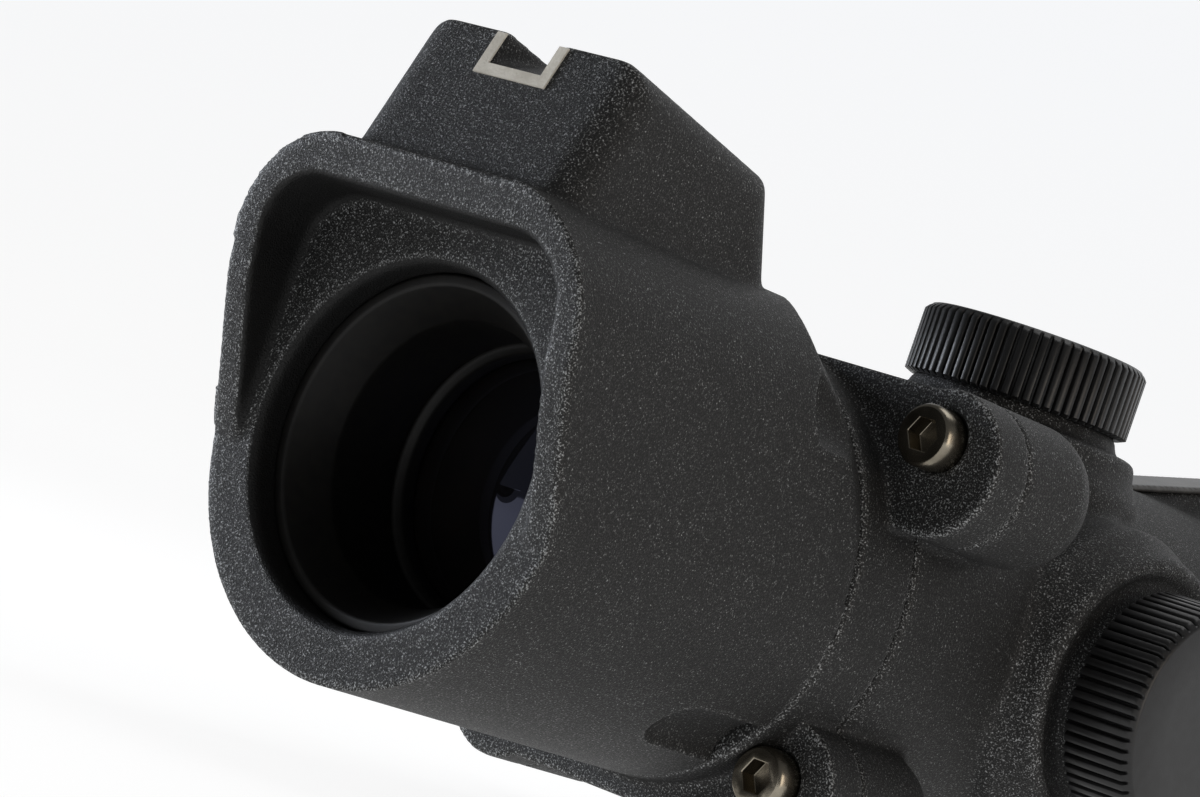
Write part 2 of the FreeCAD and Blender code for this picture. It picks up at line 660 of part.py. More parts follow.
def main_body():
    """The main casting: tube, flared bell, screw bosses, turrets, foot and light-pipe strip."""
    tube = turned("body_tube", [
        ("0", "flange_seam"), ("tube_radius - seam_bevel", "flange_seam"),
        ("tube_radius", "flange_seam + seam_bevel"), ("tube_radius", "bell_start"),
        ("tube_radius + 0.7", "bell_waist"), ("bell_radius - 0.9", "bell_full - 6"),
        ("bell_radius", "bell_full"), ("bell_radius", "bell_end - 5.0"),
        ("bell_radius - 0.5", "bell_end - 4.7"), ("bell_radius - 0.5", "bell_end - 3.9"),
        ("bell_radius", "bell_end - 3.6"), ("bell_radius", "bell_end - 1.2"),
        ("bell_radius - 1.2", "bell_end"), ("0", "bell_end")])
    tube.Placement = Placement(Vector(), ALONG_TUBE)
    bosses = []
    for n, (x, z, radius) in enumerate(lug_places()):
        boss = turned(f"screw_boss_{n}", [
            ("0", "flange_seam"), (radius, "flange_seam"), (radius, "boss_end - 3.4"),
            (f"{radius} - 0.5", "boss_end - 1.9"), (f"{radius} - 1.7", "boss_end - 0.6"),
            (f"{radius} - 3.2", "boss_end"), ("0", "boss_end")])
        bosses.append(placed(boss, x, 0, z, ALONG_TUBE))
    bridges = lug_bridges("body", "flange_seam", "boss_end - 3.4")
    foot = prism("foot", [
        ("foot_rear", "-axis_height"), ("foot_front", "-axis_height"), ("foot_front", "-14"),
        ("foot_rear - 3", "-14"), ("foot_rear - 3", "-17.6")], "foot_half_width")
    strip = prism("strip_wedge", [
        ("strip_start", "strip_root"), ("strip_start", "strip_low"), ("bell_full", "strip_high"),
        ("strip_end", "strip_high"), ("strip_end + 2", "strip_root")], "strip_half_width - strip_overhang")
    sight_base = prism("front_sight_base", [
        ("post_station - 5", "strip_root"), ("post_station - 4", "bell_radius + 3"),
        ("post_station + 3", "bell_radius + 3"), ("post_station + 6", "strip_root")], 4)
    casting = joined("body_casting", [tube, foot, strip, sight_base] + bridges + bosses
                     + turret_castings())
    bores = turned("body_bores", [
        ("0", "flange_seam - 1"), ("tube_bore", "flange_seam - 1"), ("tube_bore", "bell_floor - 6"),
        ("17.3", "bell_floor"), ("bell_bore", "bell_floor"), ("bell_bore", "bell_end - 0.5"),
        ("bell_bore + 0.6", "bell_end + 1"), ("0", "bell_end + 1")])
    bores.Placement = Placement(Vector(), ALONG_TUBE)
    screw_holes = [rod(f"body_screw_hole_{n}", "screw_shank + 0.05", "screw_end - flange_seam + 2",
                       x, "flange_seam - 1", z)
                   for n, (x, z) in enumerate(screw_places())]
    insert_holes = [rod(f"insert_hole_{n}", "insert_radius", "insert_length", 0,
                        f"foot_station + {side} * foot_hole_spacing / 2", "-axis_height", UPWARDS)
                    for n, side in enumerate((-1, 1))]
    yaw_pin_hole = rod("yaw_pin_hole", "pivot_pin", 32, 0, "pivot_station", "-15.8", UPWARDS)
    pipe_channel = block("pipe_channel",
                         ("-channel_half_width", "bell_full", "strip_high - pipe_depth - pipe_radius - 0.1"),
                         ("channel_half_width", "strip_end - 1", "strip_high + 1"))
    cover_seat = prism("cover_seat", [
        ("strip_start - 0.1", "strip_low - 0.03"), ("bell_full", "strip_high"),
        ("strip_end + 0.1", "strip_high"),
        ("strip_end + 0.1", "strip_high + 3"), ("strip_start - 0.1", "strip_high + 3")],
        "strip_half_width + 0.1")
    post_slot = block("post_slot", ("-post_half_width - 0.1", "post_station - post_half_length - 0.1",
                                    "bell_radius - 0.4"),
                      ("post_half_width + 0.1", "post_station + post_half_length + 0.1", "bell_radius + 4"))
    pin_hole = rod("post_pin_hole", "post_pin", "post_pin_length + 2", "-post_pin_length / 2 - 1",
                   "post_station", "post_pin_height", RIGHTWARDS)
    tools = ([bores, yaw_pin_hole, pipe_channel, cover_seat, post_slot, pin_hole]
             + screw_holes + insert_holes + turret_bores())
    return keep(cut("main_body", casting, tools), "main_body")


def thread_inserts():
    """Two steel thread inserts pressed into the foot, for the mount's screws."""
    inserts = []
    for n, side in enumerate((-1, 1)):
        insert = ring(f"insert_{n}", "insert_radius", "insert_bore", "0", "insert_length")
        place = placed(insert, 0, f"foot_station + {side} * foot_hole_spacing / 2", "-axis_height")
        inserts.append(place)
    return keep(group("thread_inserts", inserts), "thread_inserts")


# ---------------------------------------------------------------- eyepiece optics and front optics

def fixed_optics():
    """Lenses, retaining rings, spacers and seals that sit still in the hood and the bell."""
    bezel = turned("eyepiece_bezel", [
        ("bezel_rim", "bezel_start"), ("hood_bore - optic_clearance", "bezel_start"),
        ("hood_bore - optic_clearance", "hood_step"), ("bezel_inner", "hood_step"),
        ("bezel_inner", "bezel_cone")])
    keep(bezel, "eyepiece_bezel", ALONG_TUBE, "0")
    retainer = turned("eye_lens_retainer", [
        ("eye_ring_bore", "hood_step + 0.5"), ("eye_ring_bore + 0.5", "hood_step"),
        ("lens_bore - optic_clearance", "hood_step"),
        ("lens_bore - optic_clearance", "hood_step + eye_ring_length"),
        ("eye_ring_bore", "hood_step + eye_ring_length")])
    keep(retainer, "eye_lens_retainer", ALONG_TUBE, "0")
    eye_lens = lens("eye_lens", SIZES["eye_lens_radius"], 2.35, 7.0, 1.6, 0.6)
    keep(eye_lens, "eye_lens", ALONG_TUBE, "hood_step")
    keep(o_ring("eye_lens_seal", 11.4, 0.5, 7.75), "eye_lens_seal", ALONG_TUBE, "hood_step")
    spacer = turned("eyepiece_spacer", [
        ("spacer_bore", "spacer_start"), ("lens_bore - optic_clearance", "spacer_start"),
        ("lens_bore - optic_clearance", "spacer_end"), ("spacer_lip", "spacer_end"),
        ("spacer_lip", "spacer_end - 1"), ("spacer_bore", "spacer_end - 1")])
    keep(spacer, "eyepiece_spacer", ALONG_TUBE, "hood_step")
    face_seal = ring("flange_seal", "face_groove_outer - 0.1", "face_groove_inner + 0.1",
                     "0.05 - face_groove_depth", "0")
    keep(face_seal, "flange_seal", ALONG_TUBE, "flange_seam")
    front_lens = lens("front_lens", SIZES["front_lens_radius"], 2.1, 5.2, 0.5, 1.3)
    keep(front_lens, "front_lens", ALONG_TUBE, "bell_floor")
    keep(o_ring("front_lens_seal", 17.9, 0.6, 1.4), "front_lens_seal", ALONG_TUBE, "bell_floor")
    front = turned("front_lens_retainer", [
        ("front_ring_bore", "front_ring_start"), ("bell_bore - optic_clearance", "front_ring_start"),
        ("bell_bore - optic_clearance", "front_ring_end"), ("front_ring_bore + 0.9", "front_ring_end"),
        ("front_ring_bore", "front_ring_end - 1.4")])
    keep(front, "front_lens_retainer", ALONG_TUBE, "bell_floor")


# ---------------------------------------------------------------- inner tube on its gimbal

def inner_tube():
    """The collimating tube that the adjusters tilt."""
    tube = turned("inner_tube_form", [
        ("inner_bore", "inner_rear"), ("inner_radius", "inner_rear"), ("inner_radius", "inner_front"),
        ("inner_bore", "inner_front")])
    tube.Placement = Placement(Vector(), ALONG_TUBE)
    holes = rod("tube_pin_hole", "pivot_pin + pivot_clearance", 30, -15, "pivot_station", 0, RIGHTWARDS)
    return keep(cut("inner_tube", tube, [holes]), "inner_tube")


def gimbal():
    """The gimbal ring and its two pairs of pins: upright for yaw, level for pitch."""
    band = ring("gimbal_band", "gimbal_outer", "gimbal_inner", "pivot_station - gimbal_half",
                "pivot_station + gimbal_half")
    band.Placement = Placement(Vector(), ALONG_TUBE)
    yaw_hole = rod("gimbal_yaw_hole", "pivot_pin + pivot_clearance", 30, 0, "pivot_station", -15, UPWARDS)
    pitch_hole = rod("gimbal_pitch_hole", "pivot_pin", 30, -15, "pivot_station", 0, RIGHTWARDS)
    keep(cut("gimbal_ring", band, [yaw_hole, pitch_hole]), "gimbal_ring")
    yaw_pins = [rod("yaw_pin_low", "pivot_pin", 4, 0, "pivot_station", "-15.8", UPWARDS),
                rod("yaw_pin_high", "pivot_pin", 4, 0, "pivot_station", "11.8", UPWARDS)]
    keep(group("gimbal_yaw_pins", yaw_pins), "gimbal_yaw_pins")
    pitch_pins = [rod("pitch_pin_left", "pivot_pin", 3.2, -13.1, "pivot_station", 0, RIGHTWARDS),
                  rod("pitch_pin_right", "pivot_pin", 3.2, 9.9, "pivot_station", 0, RIGHTWARDS)]
    keep(group("gimbal_pitch_pins", pitch_pins), "gimbal_pitch_pins")


def collimator():
    """The cemented front doublet, its retainer, and the emitter on its bracket."""
    bore = SIZES["inner_bore"] - 0.05
    keep(lens("collimator_front", bore, 0, 2.4, 0.1, 0.9), "collimator_front", ALONG_TUBE, "inner_front - 6")
    keep(lens("collimator_rear", bore, -2.4, -0.25, 0.8, 0.1), "collimator_rear", ALONG_TUBE, "inner_front - 6")
    keep(ring("collimator_retainer", "inner_bore - 0.05", "inner_bore - 1.2", "2.75", "4.6"),
         "collimator_retainer", ALONG_TUBE, "inner_front - 6")
    step = block("emitter_step", (-6, "inner_rear + 5", -12), (-1.5, "inner_rear + 12", -5.4))
    bracket = shared("emitter_wedge", step, rod("emitter_limit", "inner_bore - 0.05", 20, 0, "inner_rear", 0))
    well = rod("emitter_well", 0.95, 3, -3.6, "inner_rear + 11", -6.7)
    keep(cut("emitter_bracket", bracket, [well]), "emitter_bracket")
    diode = turned("emitter_diode", [
        ("0", "0"), ("0.9", "0"), ("0.9", "1.6"), ("0.75", "2.0"), ("0.4", "2.35"), ("0", "2.45")])
    placed(diode, -3.6, "inner_rear + 11", -6.7, ALONG_TUBE)
    keep(group("emitter_diode_seat", [diode]), "emitter_diode")


def return_spring():
    """A bowed leaf spring that presses the inner tube up and right, against both plungers."""
    width, thickness = 4.4, 0.35
    low, high = SIZES["tube_bore"] - 1.0, SIZES["inner_radius"] + thickness + 0.1
    rear, front = SIZES["turret_station"] - 13, SIZES["turret_station"] + 13
    middle = (rear + front) / 2
    outer = Part.Arc(Vector(0, rear, -low), Vector(0, middle, -high), Vector(0, front, -low))
    inner = Part.Arc(Vector(0, front, -low + thickness), Vector(0, middle, -high + thickness),
                     Vector(0, rear, -low + thickness))
    edges = [outer.toShape(), Part.makeLine(Vector(0, front, -low), Vector(0, front, -low + thickness)),
             inner.toShape(), Part.makeLine(Vector(0, rear, -low + thickness), Vector(0, rear, -low))]
    leaf = Part.Face(Part.Wire(edges)).extrude(Vector(width, 0, 0))
    leaf.translate(Vector(-width / 2, 0, 0))
    feature = DOC.addObject("Part::Feature", "return_spring")
    feature.Shape = leaf
    return keep(feature, "return_spring", Rotation(Vector(0, 1, 0), 45))


# ---------------------------------------------------------------- small springs

def bellows_spring(name, height, folds):
    """A thin metal bellows that serves as a stiff little spring, from height 0 to its full height."""
    outside = [(("bellows_waist", "bellows_crest")[fold % 2], fold * height / folds)
               for fold in range(folds + 1)]
    inside = [(f"{radius} - bellows_wall", level) for radius, level in reversed(outside)]
    return turned(name, outside + inside)


# ---------------------------------------------------------------- elevation and windage adjusters

def knurled_cap(name, start, height):
    """A screwed cap with straight knurling, a bevelled top and a hollow that clears the collar."""
    top = f"{start} + {height}"
    body = turned(name, [
        ("cap_bore", start), ("cap_radius - 0.3", start), ("cap_radius", f"{start} + 0.3"),
        ("cap_radius", f"{top} - cap_chamfer"), ("cap_radius - 1.15", top), ("0", top),
        ("0", f"{top} - cap_roof"), ("cap_bore", f"{top} - cap_roof")])
    DOC.recompute()
    sketch = body.newObject("Sketcher::SketchObject", name + "_flute")
    sketch.AttachmentSupport = [(origin_plane(body, "XY_Plane"), "")]
    sketch.MapMode = "FlatFace"
    half_angle = math.pi / SIZES["knurl_count"]
    out = SIZES["cap_radius"] + 0.1
    half = out * math.tan(0.62 * half_angle)
    deep = SIZES["cap_radius"] - SIZES["knurl_depth"]
    narrow = 0.35 * half
    corners = [Vector(out, -half, 0), Vector(out, half, 0), Vector(deep, narrow, 0), Vector(deep, -narrow, 0)]
    for near, far in zip(corners, corners[1:] + corners[:1]):
        sketch.addGeometry(Part.LineSegment(near, far), False)
    flute = body.newObject("PartDesign::Pocket", name + "_pocket")
    flute.Profile = sketch
    flute.Type = "Length"
    flute.setExpression("Length", bound(f"{top} + 1"))
    flute.Reversed = True
    body.Tip = flute
    DOC.recompute()
    knurl = body.newObject("PartDesign::PolarPattern", name + "_knurl")
    knurl.Originals = [flute]
    knurl.Axis = (sketch, ["N_Axis"])
    knurl.Angle = 360
    knurl.Occurrences = int(SIZES["knurl_count"])
    body.Tip = knurl
    return body


def adjuster(name, rotation, cap_start, cap_height):
    """One adjuster: screwed cap, seal, dial with its click ball and spring, retainer, plunger."""
    def fit(piece, part):
        keep(piece, f"{name}_{part}", rotation, "turret_station")
    fit(knurled_cap(name + "_cap", cap_start, cap_height), "cap")
    fit(o_ring(name + "_cap_seal", SIZES["cap_seal"], SIZES["seal_section"], SIZES["cap_seal_height"]),
        "cap_seal")
    blank = turned(name + "_dial_blank", [
        ("0", "dial_start"), ("dial_radius", "dial_start"), ("dial_radius", "dial_step"),
        ("dial_neck", "dial_step"), ("dial_neck", "dial_top"), ("0", "dial_top")])
    well = rod(name + "_dial_well", "dial_well", "dial_well_depth + 1", 0, 0, "dial_start - 1", UPWARDS)
    coin_slot = block(name + "_dial_slot", ("-dial_neck - 1", "-coin_slot_width / 2", "dial_top - coin_slot_depth"),
                      ("dial_neck + 1", "coin_slot_width / 2", "dial_top + 1"))
    click_hole = rod(name + "_click_hole", "click_hole", "dial_radius", "click_hole_start", 0, "click_height",
                     RIGHTWARDS)
    fit(cut(name + "_dial", blank, [well, coin_slot, click_hole]), "dial")
    bellows = bellows_spring(name + "_click_bellows", 1.6, 6)
    placed(bellows, "click_spring_start", 0, "click_height", RIGHTWARDS)
    fit(group(name + "_click_spring", [bellows]), "click_spring")
    click_ball = ball(name + "_click_sphere", "click_ball", "click_ball_out", 0, "click_height")
    fit(group(name + "_click_ball", [click_ball]), "click_ball")
    fit(ring(name + "_retainer", "dial_radius + 0.05", "dial_ring_bore", "dial_ring_start", "dial_ring_end"),
        "retainer")
    tip = "inner_radius + 0.08"
    plunger = turned(name + "_plunger_form", [
        ("0", tip), ("plunger_tip", tip), ("plunger_neck", f"{tip} + 0.3"), ("plunger_neck", f"{tip} + 3.1"),
        ("plunger_radius", f"{tip} + 3.6"), ("plunger_radius", "plunger_end"), ("0", "plunger_end")])
    fit(group(name + "_plunger", [plunger]), "plunger")


# ---------------------------------------------------------------- brightness control and battery

def round_the_axis(distance, turns):
    """Points at a distance from the Z axis, at each of the given turns in radians."""
    return [(distance * math.cos(turn), distance * math.sin(turn)) for turn in turns]


def brightness_control():
    """The rotary switch on the left, with the battery inside its knob."""
    def fit(piece, label):
        keep(piece, label, LEFTWARDS, "turret_station")
    fit(ring("switch_board", "board_radius", "board_bore", "board_start", "board_start + board_thickness"),
        "switch_board")
    plate = turned("plate_form", [
        ("plate_bore", "plate_step_height"), ("plate_step", "plate_step_height"),
        ("plate_step", "plate_start"), ("plate_radius", "plate_start"), ("plate_radius", "plate_end"),
        ("plate_bore", "plate_end")])
    screw_points = round_the_axis(SIZES["plate_screw_out"], (0.5, 2.6, 4.7))
    (detent_x, detent_y), = round_the_axis(SIZES["detent_out"], (3.7,))
    holes = [rod(f"plate_hole_{n}", "plate_screw + 0.05", 3, x, y, "plate_start - 0.2", UPWARDS)
             for n, (x, y) in enumerate(screw_points)]
    ball_hole = rod("ball_hole", "bellows_crest + 0.15", 2, detent_x, detent_y, "detent_start - 0.1", UPWARDS)
    fit(cut("switch_plate", plate, holes + [ball_hole]), "switch_plate")
    screws = []
    for n, (x, y) in enumerate(screw_points):
        head = rod(f"plate_screw_{n}", "plate_screw", "plate_end - plate_start - 0.05", x, y, "plate_start",
                   UPWARDS)
        slot = block(f"plate_screw_slot_{n}", (x - 1, f"{y} - plate_screw_slot / 2", "plate_end - 0.4"),
                     (x + 1, f"{y} + plate_screw_slot / 2", "plate_end + 0.4"))
        screws.append(cut(f"plate_screw_cut_{n}", head, [slot]))
    fit(group("switch_plate_screws", screws), "switch_plate_screws")
    bellows = placed(bellows_spring("detent_bellows", 0.62, 2), detent_x, detent_y, "detent_start")
    fit(group("detent_spring", [bellows]), "detent_spring")
    detent = ball("detent_sphere", "detent_ball", detent_x, detent_y, "detent_ball_height")
    fit(group("detent_ball", [detent]), "detent_ball")
    knob_form = turned("knob_form", [
        ("0", "knob_stem_start"), ("knob_stem", "knob_stem_start"), ("knob_stem", "knob_shaft_start"),
        ("knob_shaft", "knob_shaft_start"), ("knob_shaft", "knob_start"),
        ("knob_radius - 0.5", "knob_start"), ("knob_radius", "knob_start + 0.5"),
        ("knob_radius", "knob_end - 0.8"), ("knob_radius - 0.8", "knob_end"), ("knob_mouth", "knob_end"),
        ("knob_mouth", "knob_ledge"), ("cell_well", "knob_ledge"), ("cell_well", "cell_floor"),
        ("0", "cell_floor")])
    count = int(SIZES["flute_count"])
    flutes = [rod(f"knob_flute_{n}", "flute_radius", "knob_end - flute_start + 1", x, y, "flute_start", UPWARDS)
              for n, (x, y) in enumerate(round_the_axis(SIZES["knob_radius"] + 1.0,
                                                        [2 * math.pi * n / count for n in range(count)]))]
    fit(cut("brightness_knob", knob_form, flutes), "brightness_knob")
    fit(ring("knob_snap_ring", "snap_ring_radius", "snap_ring_bore", "knob_stem_start + 0.05",
             "knob_shaft_start - 0.05"), "knob_snap_ring")
    fit(ring("battery_contact", "contact_radius", "contact_bore", "cell_floor",
             "cell_floor + contact_thickness"), "battery_contact")
    fit(turned("battery", [
        ("0", "cell_start"), ("cell_terminal", "cell_start"), ("cell_terminal", "cell_start + 0.4"),
        ("cell_radius", "cell_start + 0.4"), ("cell_radius", "cell_end"), ("0", "cell_end")]), "battery")
    cap_form = turned("battery_cap_form", [
        ("0", "cell_cap_start"), ("cell_cap_plug", "cell_cap_start"), ("cell_cap_plug", "cell_cap_step"),
        ("cell_cap_radius", "cell_cap_step"), ("cell_cap_radius", "cell_cap_end - 0.8"),
        ("cell_cap_radius - 0.6", "cell_cap_end"), ("0", "cell_cap_end")])
    slot = block("battery_cap_slot", (-8, "-coin_slot_width / 2 - 0.2", "cell_cap_end - coin_slot_depth"),
                 (8, "coin_slot_width / 2 + 0.2", "cell_cap_end + 1"))
    fit(cut("battery_cap", cap_form, [slot]), "battery_cap")
    fit(o_ring("battery_cap_seal", SIZES["cell_cap_seal"], SIZES["seal_section"], SIZES["knob_ledge"] + 0.46),
        "battery_cap_seal")


# ---------------------------------------------------------------- front sight and light pipe

def front_top():
    """The front post with its cross pin, and the light pipe under its cover."""
    blade = prism("post_blade_form", [
        ("post_station - post_half_length", "bell_radius - 0.3"),
        ("post_station - post_half_length", "bell_radius + 4.5"),
        ("post_station - 0.8", "post_top"), ("post_station + 1.0", "post_top"),
        ("post_station + post_half_length", "bell_radius + 3.5"),
        ("post_station + post_half_length", "bell_radius - 0.3")], "post_half_width")
    hole = rod("blade_pin_hole", "post_pin", 6, -3, "post_station", "post_pin_height", RIGHTWARDS)
    keep(cut("front_sight_blade", blade, [hole]), "front_sight_blade")
    pin = rod("front_pin_rod", "post_pin", "post_pin_length", "-post_pin_length / 2", "post_station",
              "post_pin_height", RIGHTWARDS)
    keep(group("front_sight_pin", [pin]), "front_sight_pin")
    cover = prism("cover_form", [
        ("strip_start", "strip_low + strip_gap"), ("strip_start", "strip_low + strip_cover"),
        ("bell_full", "strip_high + strip_cover"), ("strip_end", "strip_high + strip_cover"),
        ("strip_end", "strip_high + strip_gap"), ("bell_full", "strip_high + strip_gap")], "strip_half_width")
    keep(group("light_pipe_cover", [cover]), "light_pipe_cover")
    pipe = rod("pipe_rod", "pipe_radius", "strip_end - bell_full - 4", 0, "bell_full + 2",
               "strip_high - pipe_depth")
    keep(group("light_pipe", [pipe]), "light_pipe")


# ---------------------------------------------------------------- build, check and write

rear_hood()
notch_outline()
clamp_flange()
flange_screws()
main_body()
thread_inserts()
fixed_optics()
inner_tube()
gimbal()
collimator()
return_spring()
adjuster("elevation", UPWARDS, "top_cap_start", "top_cap_height")
adjuster("windage", RIGHTWARDS, "side_cap_start", "side_cap_height")
brightness_control()
front_top()
DOC.recompute()

for item in DOC.Objects:
    if "Invalid" in item.State or "Error" in item.State:
        raise RuntimeError(f"{item.Name} failed: {item.State}")

os.makedirs("parts", exist_ok=True)
for label, piece in NODES.items():
    shape = piece.Shape
    if shape.isNull() or not shape.isValid() or shape.Volume <= 0:
        raise RuntimeError(f"{label} has no sound solid")
    shape.exportStep(f"parts/{label}.step")
    print(f"{label:22s} solids {len(shape.Solids)} volume {shape.Volume:10.1f} mm3")
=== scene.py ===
"""Looks for the tube dot sight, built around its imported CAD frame.

Everything is in metres in the frame's own axes: +Y forward, +X right, +Z up from the foot.
"""

import json
import math

import bmesh
import bpy
from mathutils import Matrix, Vector


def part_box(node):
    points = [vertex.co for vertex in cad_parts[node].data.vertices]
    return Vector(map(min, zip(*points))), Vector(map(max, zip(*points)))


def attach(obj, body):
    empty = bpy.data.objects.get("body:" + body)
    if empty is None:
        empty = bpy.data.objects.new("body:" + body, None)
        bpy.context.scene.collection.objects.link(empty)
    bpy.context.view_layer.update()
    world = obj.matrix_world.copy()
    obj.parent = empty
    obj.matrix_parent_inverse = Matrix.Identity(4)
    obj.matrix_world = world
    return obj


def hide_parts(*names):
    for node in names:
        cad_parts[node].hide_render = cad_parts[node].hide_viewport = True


bl_info = {
    "name": "Tube Dot Sight",
    "version": (1, 0, 0),
    "blender": (4, 5, 0),
    "location": "View3D > Sidebar > Dot Sight",
    "description": "Builds the finished castings, caps, screws, optics and studio of a tube dot sight",
    "category": "Object",
}

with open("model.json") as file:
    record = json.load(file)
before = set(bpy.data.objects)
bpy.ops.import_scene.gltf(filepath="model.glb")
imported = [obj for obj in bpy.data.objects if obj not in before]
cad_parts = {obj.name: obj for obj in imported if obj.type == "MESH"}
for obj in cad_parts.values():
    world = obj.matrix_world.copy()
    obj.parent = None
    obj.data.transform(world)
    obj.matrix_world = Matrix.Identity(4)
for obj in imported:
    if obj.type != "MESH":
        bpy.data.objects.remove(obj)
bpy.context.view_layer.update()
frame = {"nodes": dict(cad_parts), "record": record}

MM = 0.001
WELD = 0.0005 * MM          # points of a new mesh nearer than this are one
SLIVER = 0.0001 * MM        # edges shorter than this are dissolved
CAD_WELD = 0.001 * MM       # the same for a copy of a CAD mesh
TOOTH_WELD = 0.002 * MM     # and where two teeth of the knurling meet
LATHE_STEPS = 192           # facets round a turned ring
CORNER_STEPS = 4            # facets round a corner of its outline

# sizes that the CAD part holds and that its boxes don't give
BEZEL_DEPTH = 2.2 * MM      # from the eyepiece's rear face in to the bezel
HOOD_CROWN = 19.5 * MM      # the hood's flat top above the optical axis
HOOD_CORNER = 9.0 * MM      # radius of the hood's two upper corners
CAP_BORE = 8.35             # millimetres, radius inside an adjuster cap
CAP_ROOF = 1.2              # millimetres, thickness of its top

BEZEL_LOW, BEZEL_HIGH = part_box("eyepiece_bezel")
AXIS = (BEZEL_LOW + BEZEL_HIGH) / 2
EYE_FACE = BEZEL_LOW.y - BEZEL_DEPTH
FORWARD = Matrix.Rotation(math.radians(-90), 4, "X")
RIGHTWARD = Matrix.Rotation(math.radians(90), 4, "Y")
UPWARD = Matrix.Identity(4)


# ------------------------------------------------------------------ settings a user would change

class SightCastings(bpy.types.PropertyGroup):
    """Finish of the rough coated castings"""
    coating: bpy.props.StringProperty(
        name="Coating", description="Colour of the black coating, as sRGB hex", default="1b1b1b")
    fleck: bpy.props.StringProperty(
        name="Fleck", description="Colour of the light grains, as sRGB hex", default="a2a4a5")
    grain: bpy.props.FloatProperty(
        name="Grain", description="Size of one grain of the coating", default=0.14 * MM,
        min=0.05 * MM, max=2 * MM, precision=5, subtype="DISTANCE", unit="LENGTH")
    rounding: bpy.props.IntProperty(
        name="Rounding", description="Smoothing passes that round the cast edges", default=8,
        min=0, max=40)


class SightCaps(bpy.types.PropertyGroup):
    """Sizes and finish of the knurled adjuster caps"""
    teeth: bpy.props.IntProperty(
        name="Teeth", description="Ridges round a cap", default=66, min=12, max=120)
    groove: bpy.props.FloatProperty(
        name="Groove", description="Depth of the knurling", default=0.42 * MM, min=0.05 * MM,
        max=1.5 * MM, precision=5, subtype="DISTANCE", unit="LENGTH")
    colour: bpy.props.StringProperty(
        name="Colour", description="Anodised colour, as sRGB hex", default="1c1c1d")


class SightStage(bpy.types.PropertyGroup):
    """Camera and studio"""
    azimuth: bpy.props.FloatProperty(
        name="Azimuth", description="Camera's bearing round the sight from straight behind",
        default=math.radians(41.76), subtype="ANGLE", unit="ROTATION")
    elevation: bpy.props.FloatProperty(
        name="Elevation", description="Camera's angle above the optical axis",
        default=math.radians(-1.87), subtype="ANGLE", unit="ROTATION")
    roll: bpy.props.FloatProperty(
        name="Roll", description="Camera's tilt about its own line of sight",
        default=math.radians(19.17), subtype="ANGLE", unit="ROTATION")
    distance: bpy.props.FloatProperty(
        name="Distance", description="From the camera to the point it aims at", default=0.315,
        min=0.1, max=5, subtype="DISTANCE", unit="LENGTH")
    lens: bpy.props.FloatProperty(
        name="Lens", description="Focal length in millimetres on a 36 mm sensor", default=136.4,
        min=20, max=400)
    backdrop: bpy.props.StringProperty(
        name="Backdrop", description="Colour of the sweep at floor height, as sRGB hex",
        default="fafafa")
    backdrop_top: bpy.props.StringProperty(
        name="Backdrop top", description="Colour of the sweep higher up, as sRGB hex",
        default="f8f9fb")
    glow: bpy.props.FloatProperty(
        name="Glow", description="Light that comes through the sweep from behind", default=0.91,
        min=0, max=2)
    fill: bpy.props.FloatProperty(
        name="Fill", description="Strength of the light from the room", default=0.16, min=0, max=2)


# ------------------------------------------------------------------ colour, nodes and materials

def srgb(text):
    """Linear colour from an sRGB hex string."""
    channels = [int(text[i:i + 2], 16) / 255 for i in (0, 2, 4)]
    linear = [c / 12.92 if c <= 0.04045 else ((c + 0.055) / 1.055) ** 2.4 for c in channels]
    return (*linear, 1.0)


def add(tree, kind, inputs=None, **settings):
    """Add one node with its settings, and fill or connect its inputs by name or number."""
    made = tree.nodes.new(kind)
    for name, value in settings.items():
        setattr(made, name, value)
    for key, value in (inputs or {}).items():
        if isinstance(value, bpy.types.NodeSocket):
            tree.links.new(value, made.inputs[key])
        else:
            made.inputs[key].default_value = value
    return made


def new_material(name, **shader_values):
    """A material with a Principled shader, its tree and its object coordinates."""
    material = bpy.data.materials.new(name)
    material.use_nodes = True
    tree = material.node_tree
    tree.nodes.clear()
    shader = add(tree, "ShaderNodeBsdfPrincipled",
                 {key.replace("_", " "): value for key, value in shader_values.items()})
    output = add(tree, "ShaderNodeOutputMaterial")
    tree.links.new(shader.outputs["BSDF"], output.inputs["Surface"])
    place = add(tree, "ShaderNodeTexCoord").outputs["Object"]
    return material, tree, shader, place


def ramp(tree, value, stops):
    """A colour ramp from a list of (position, sRGB hex) stops."""
    made = add(tree, "ShaderNodeValToRGB", {"Fac": value})
    elements = made.color_ramp.elements
    while len(elements) < len(stops):
        elements.new(0.5)
    for element, (position, colour) in zip(elements, stops):
        element.position = position
        element.color = srgb(colour)
    return made.outputs["Color"]


def facing_the_axis(tree, place, normal):
    """From 0 to 1: how squarely a face looks in at the optical axis, the mask of the painted shade inside
    the hood.
    """
    offset = add(tree, "ShaderNodeVectorMath", {0: place, 1: AXIS}, operation="SUBTRACT")
    radial = add(tree, "ShaderNodeVectorMath", {0: offset.outputs["Vector"], 1: (1, 0, 1)},
                 operation="MULTIPLY")
    spoke = add(tree, "ShaderNodeVectorMath", {0: radial.outputs["Vector"]}, operation="NORMALIZE")
    facing = add(tree, "ShaderNodeVectorMath", {0: spoke.outputs["Vector"], 1: normal},
                 operation="DOT_PRODUCT")
    share = add(tree, "ShaderNodeMapRange", {"Value": facing.outputs["Value"], "From Min": -0.3,
                                             "From Max": -0.5})
    return share.outputs["Result"]


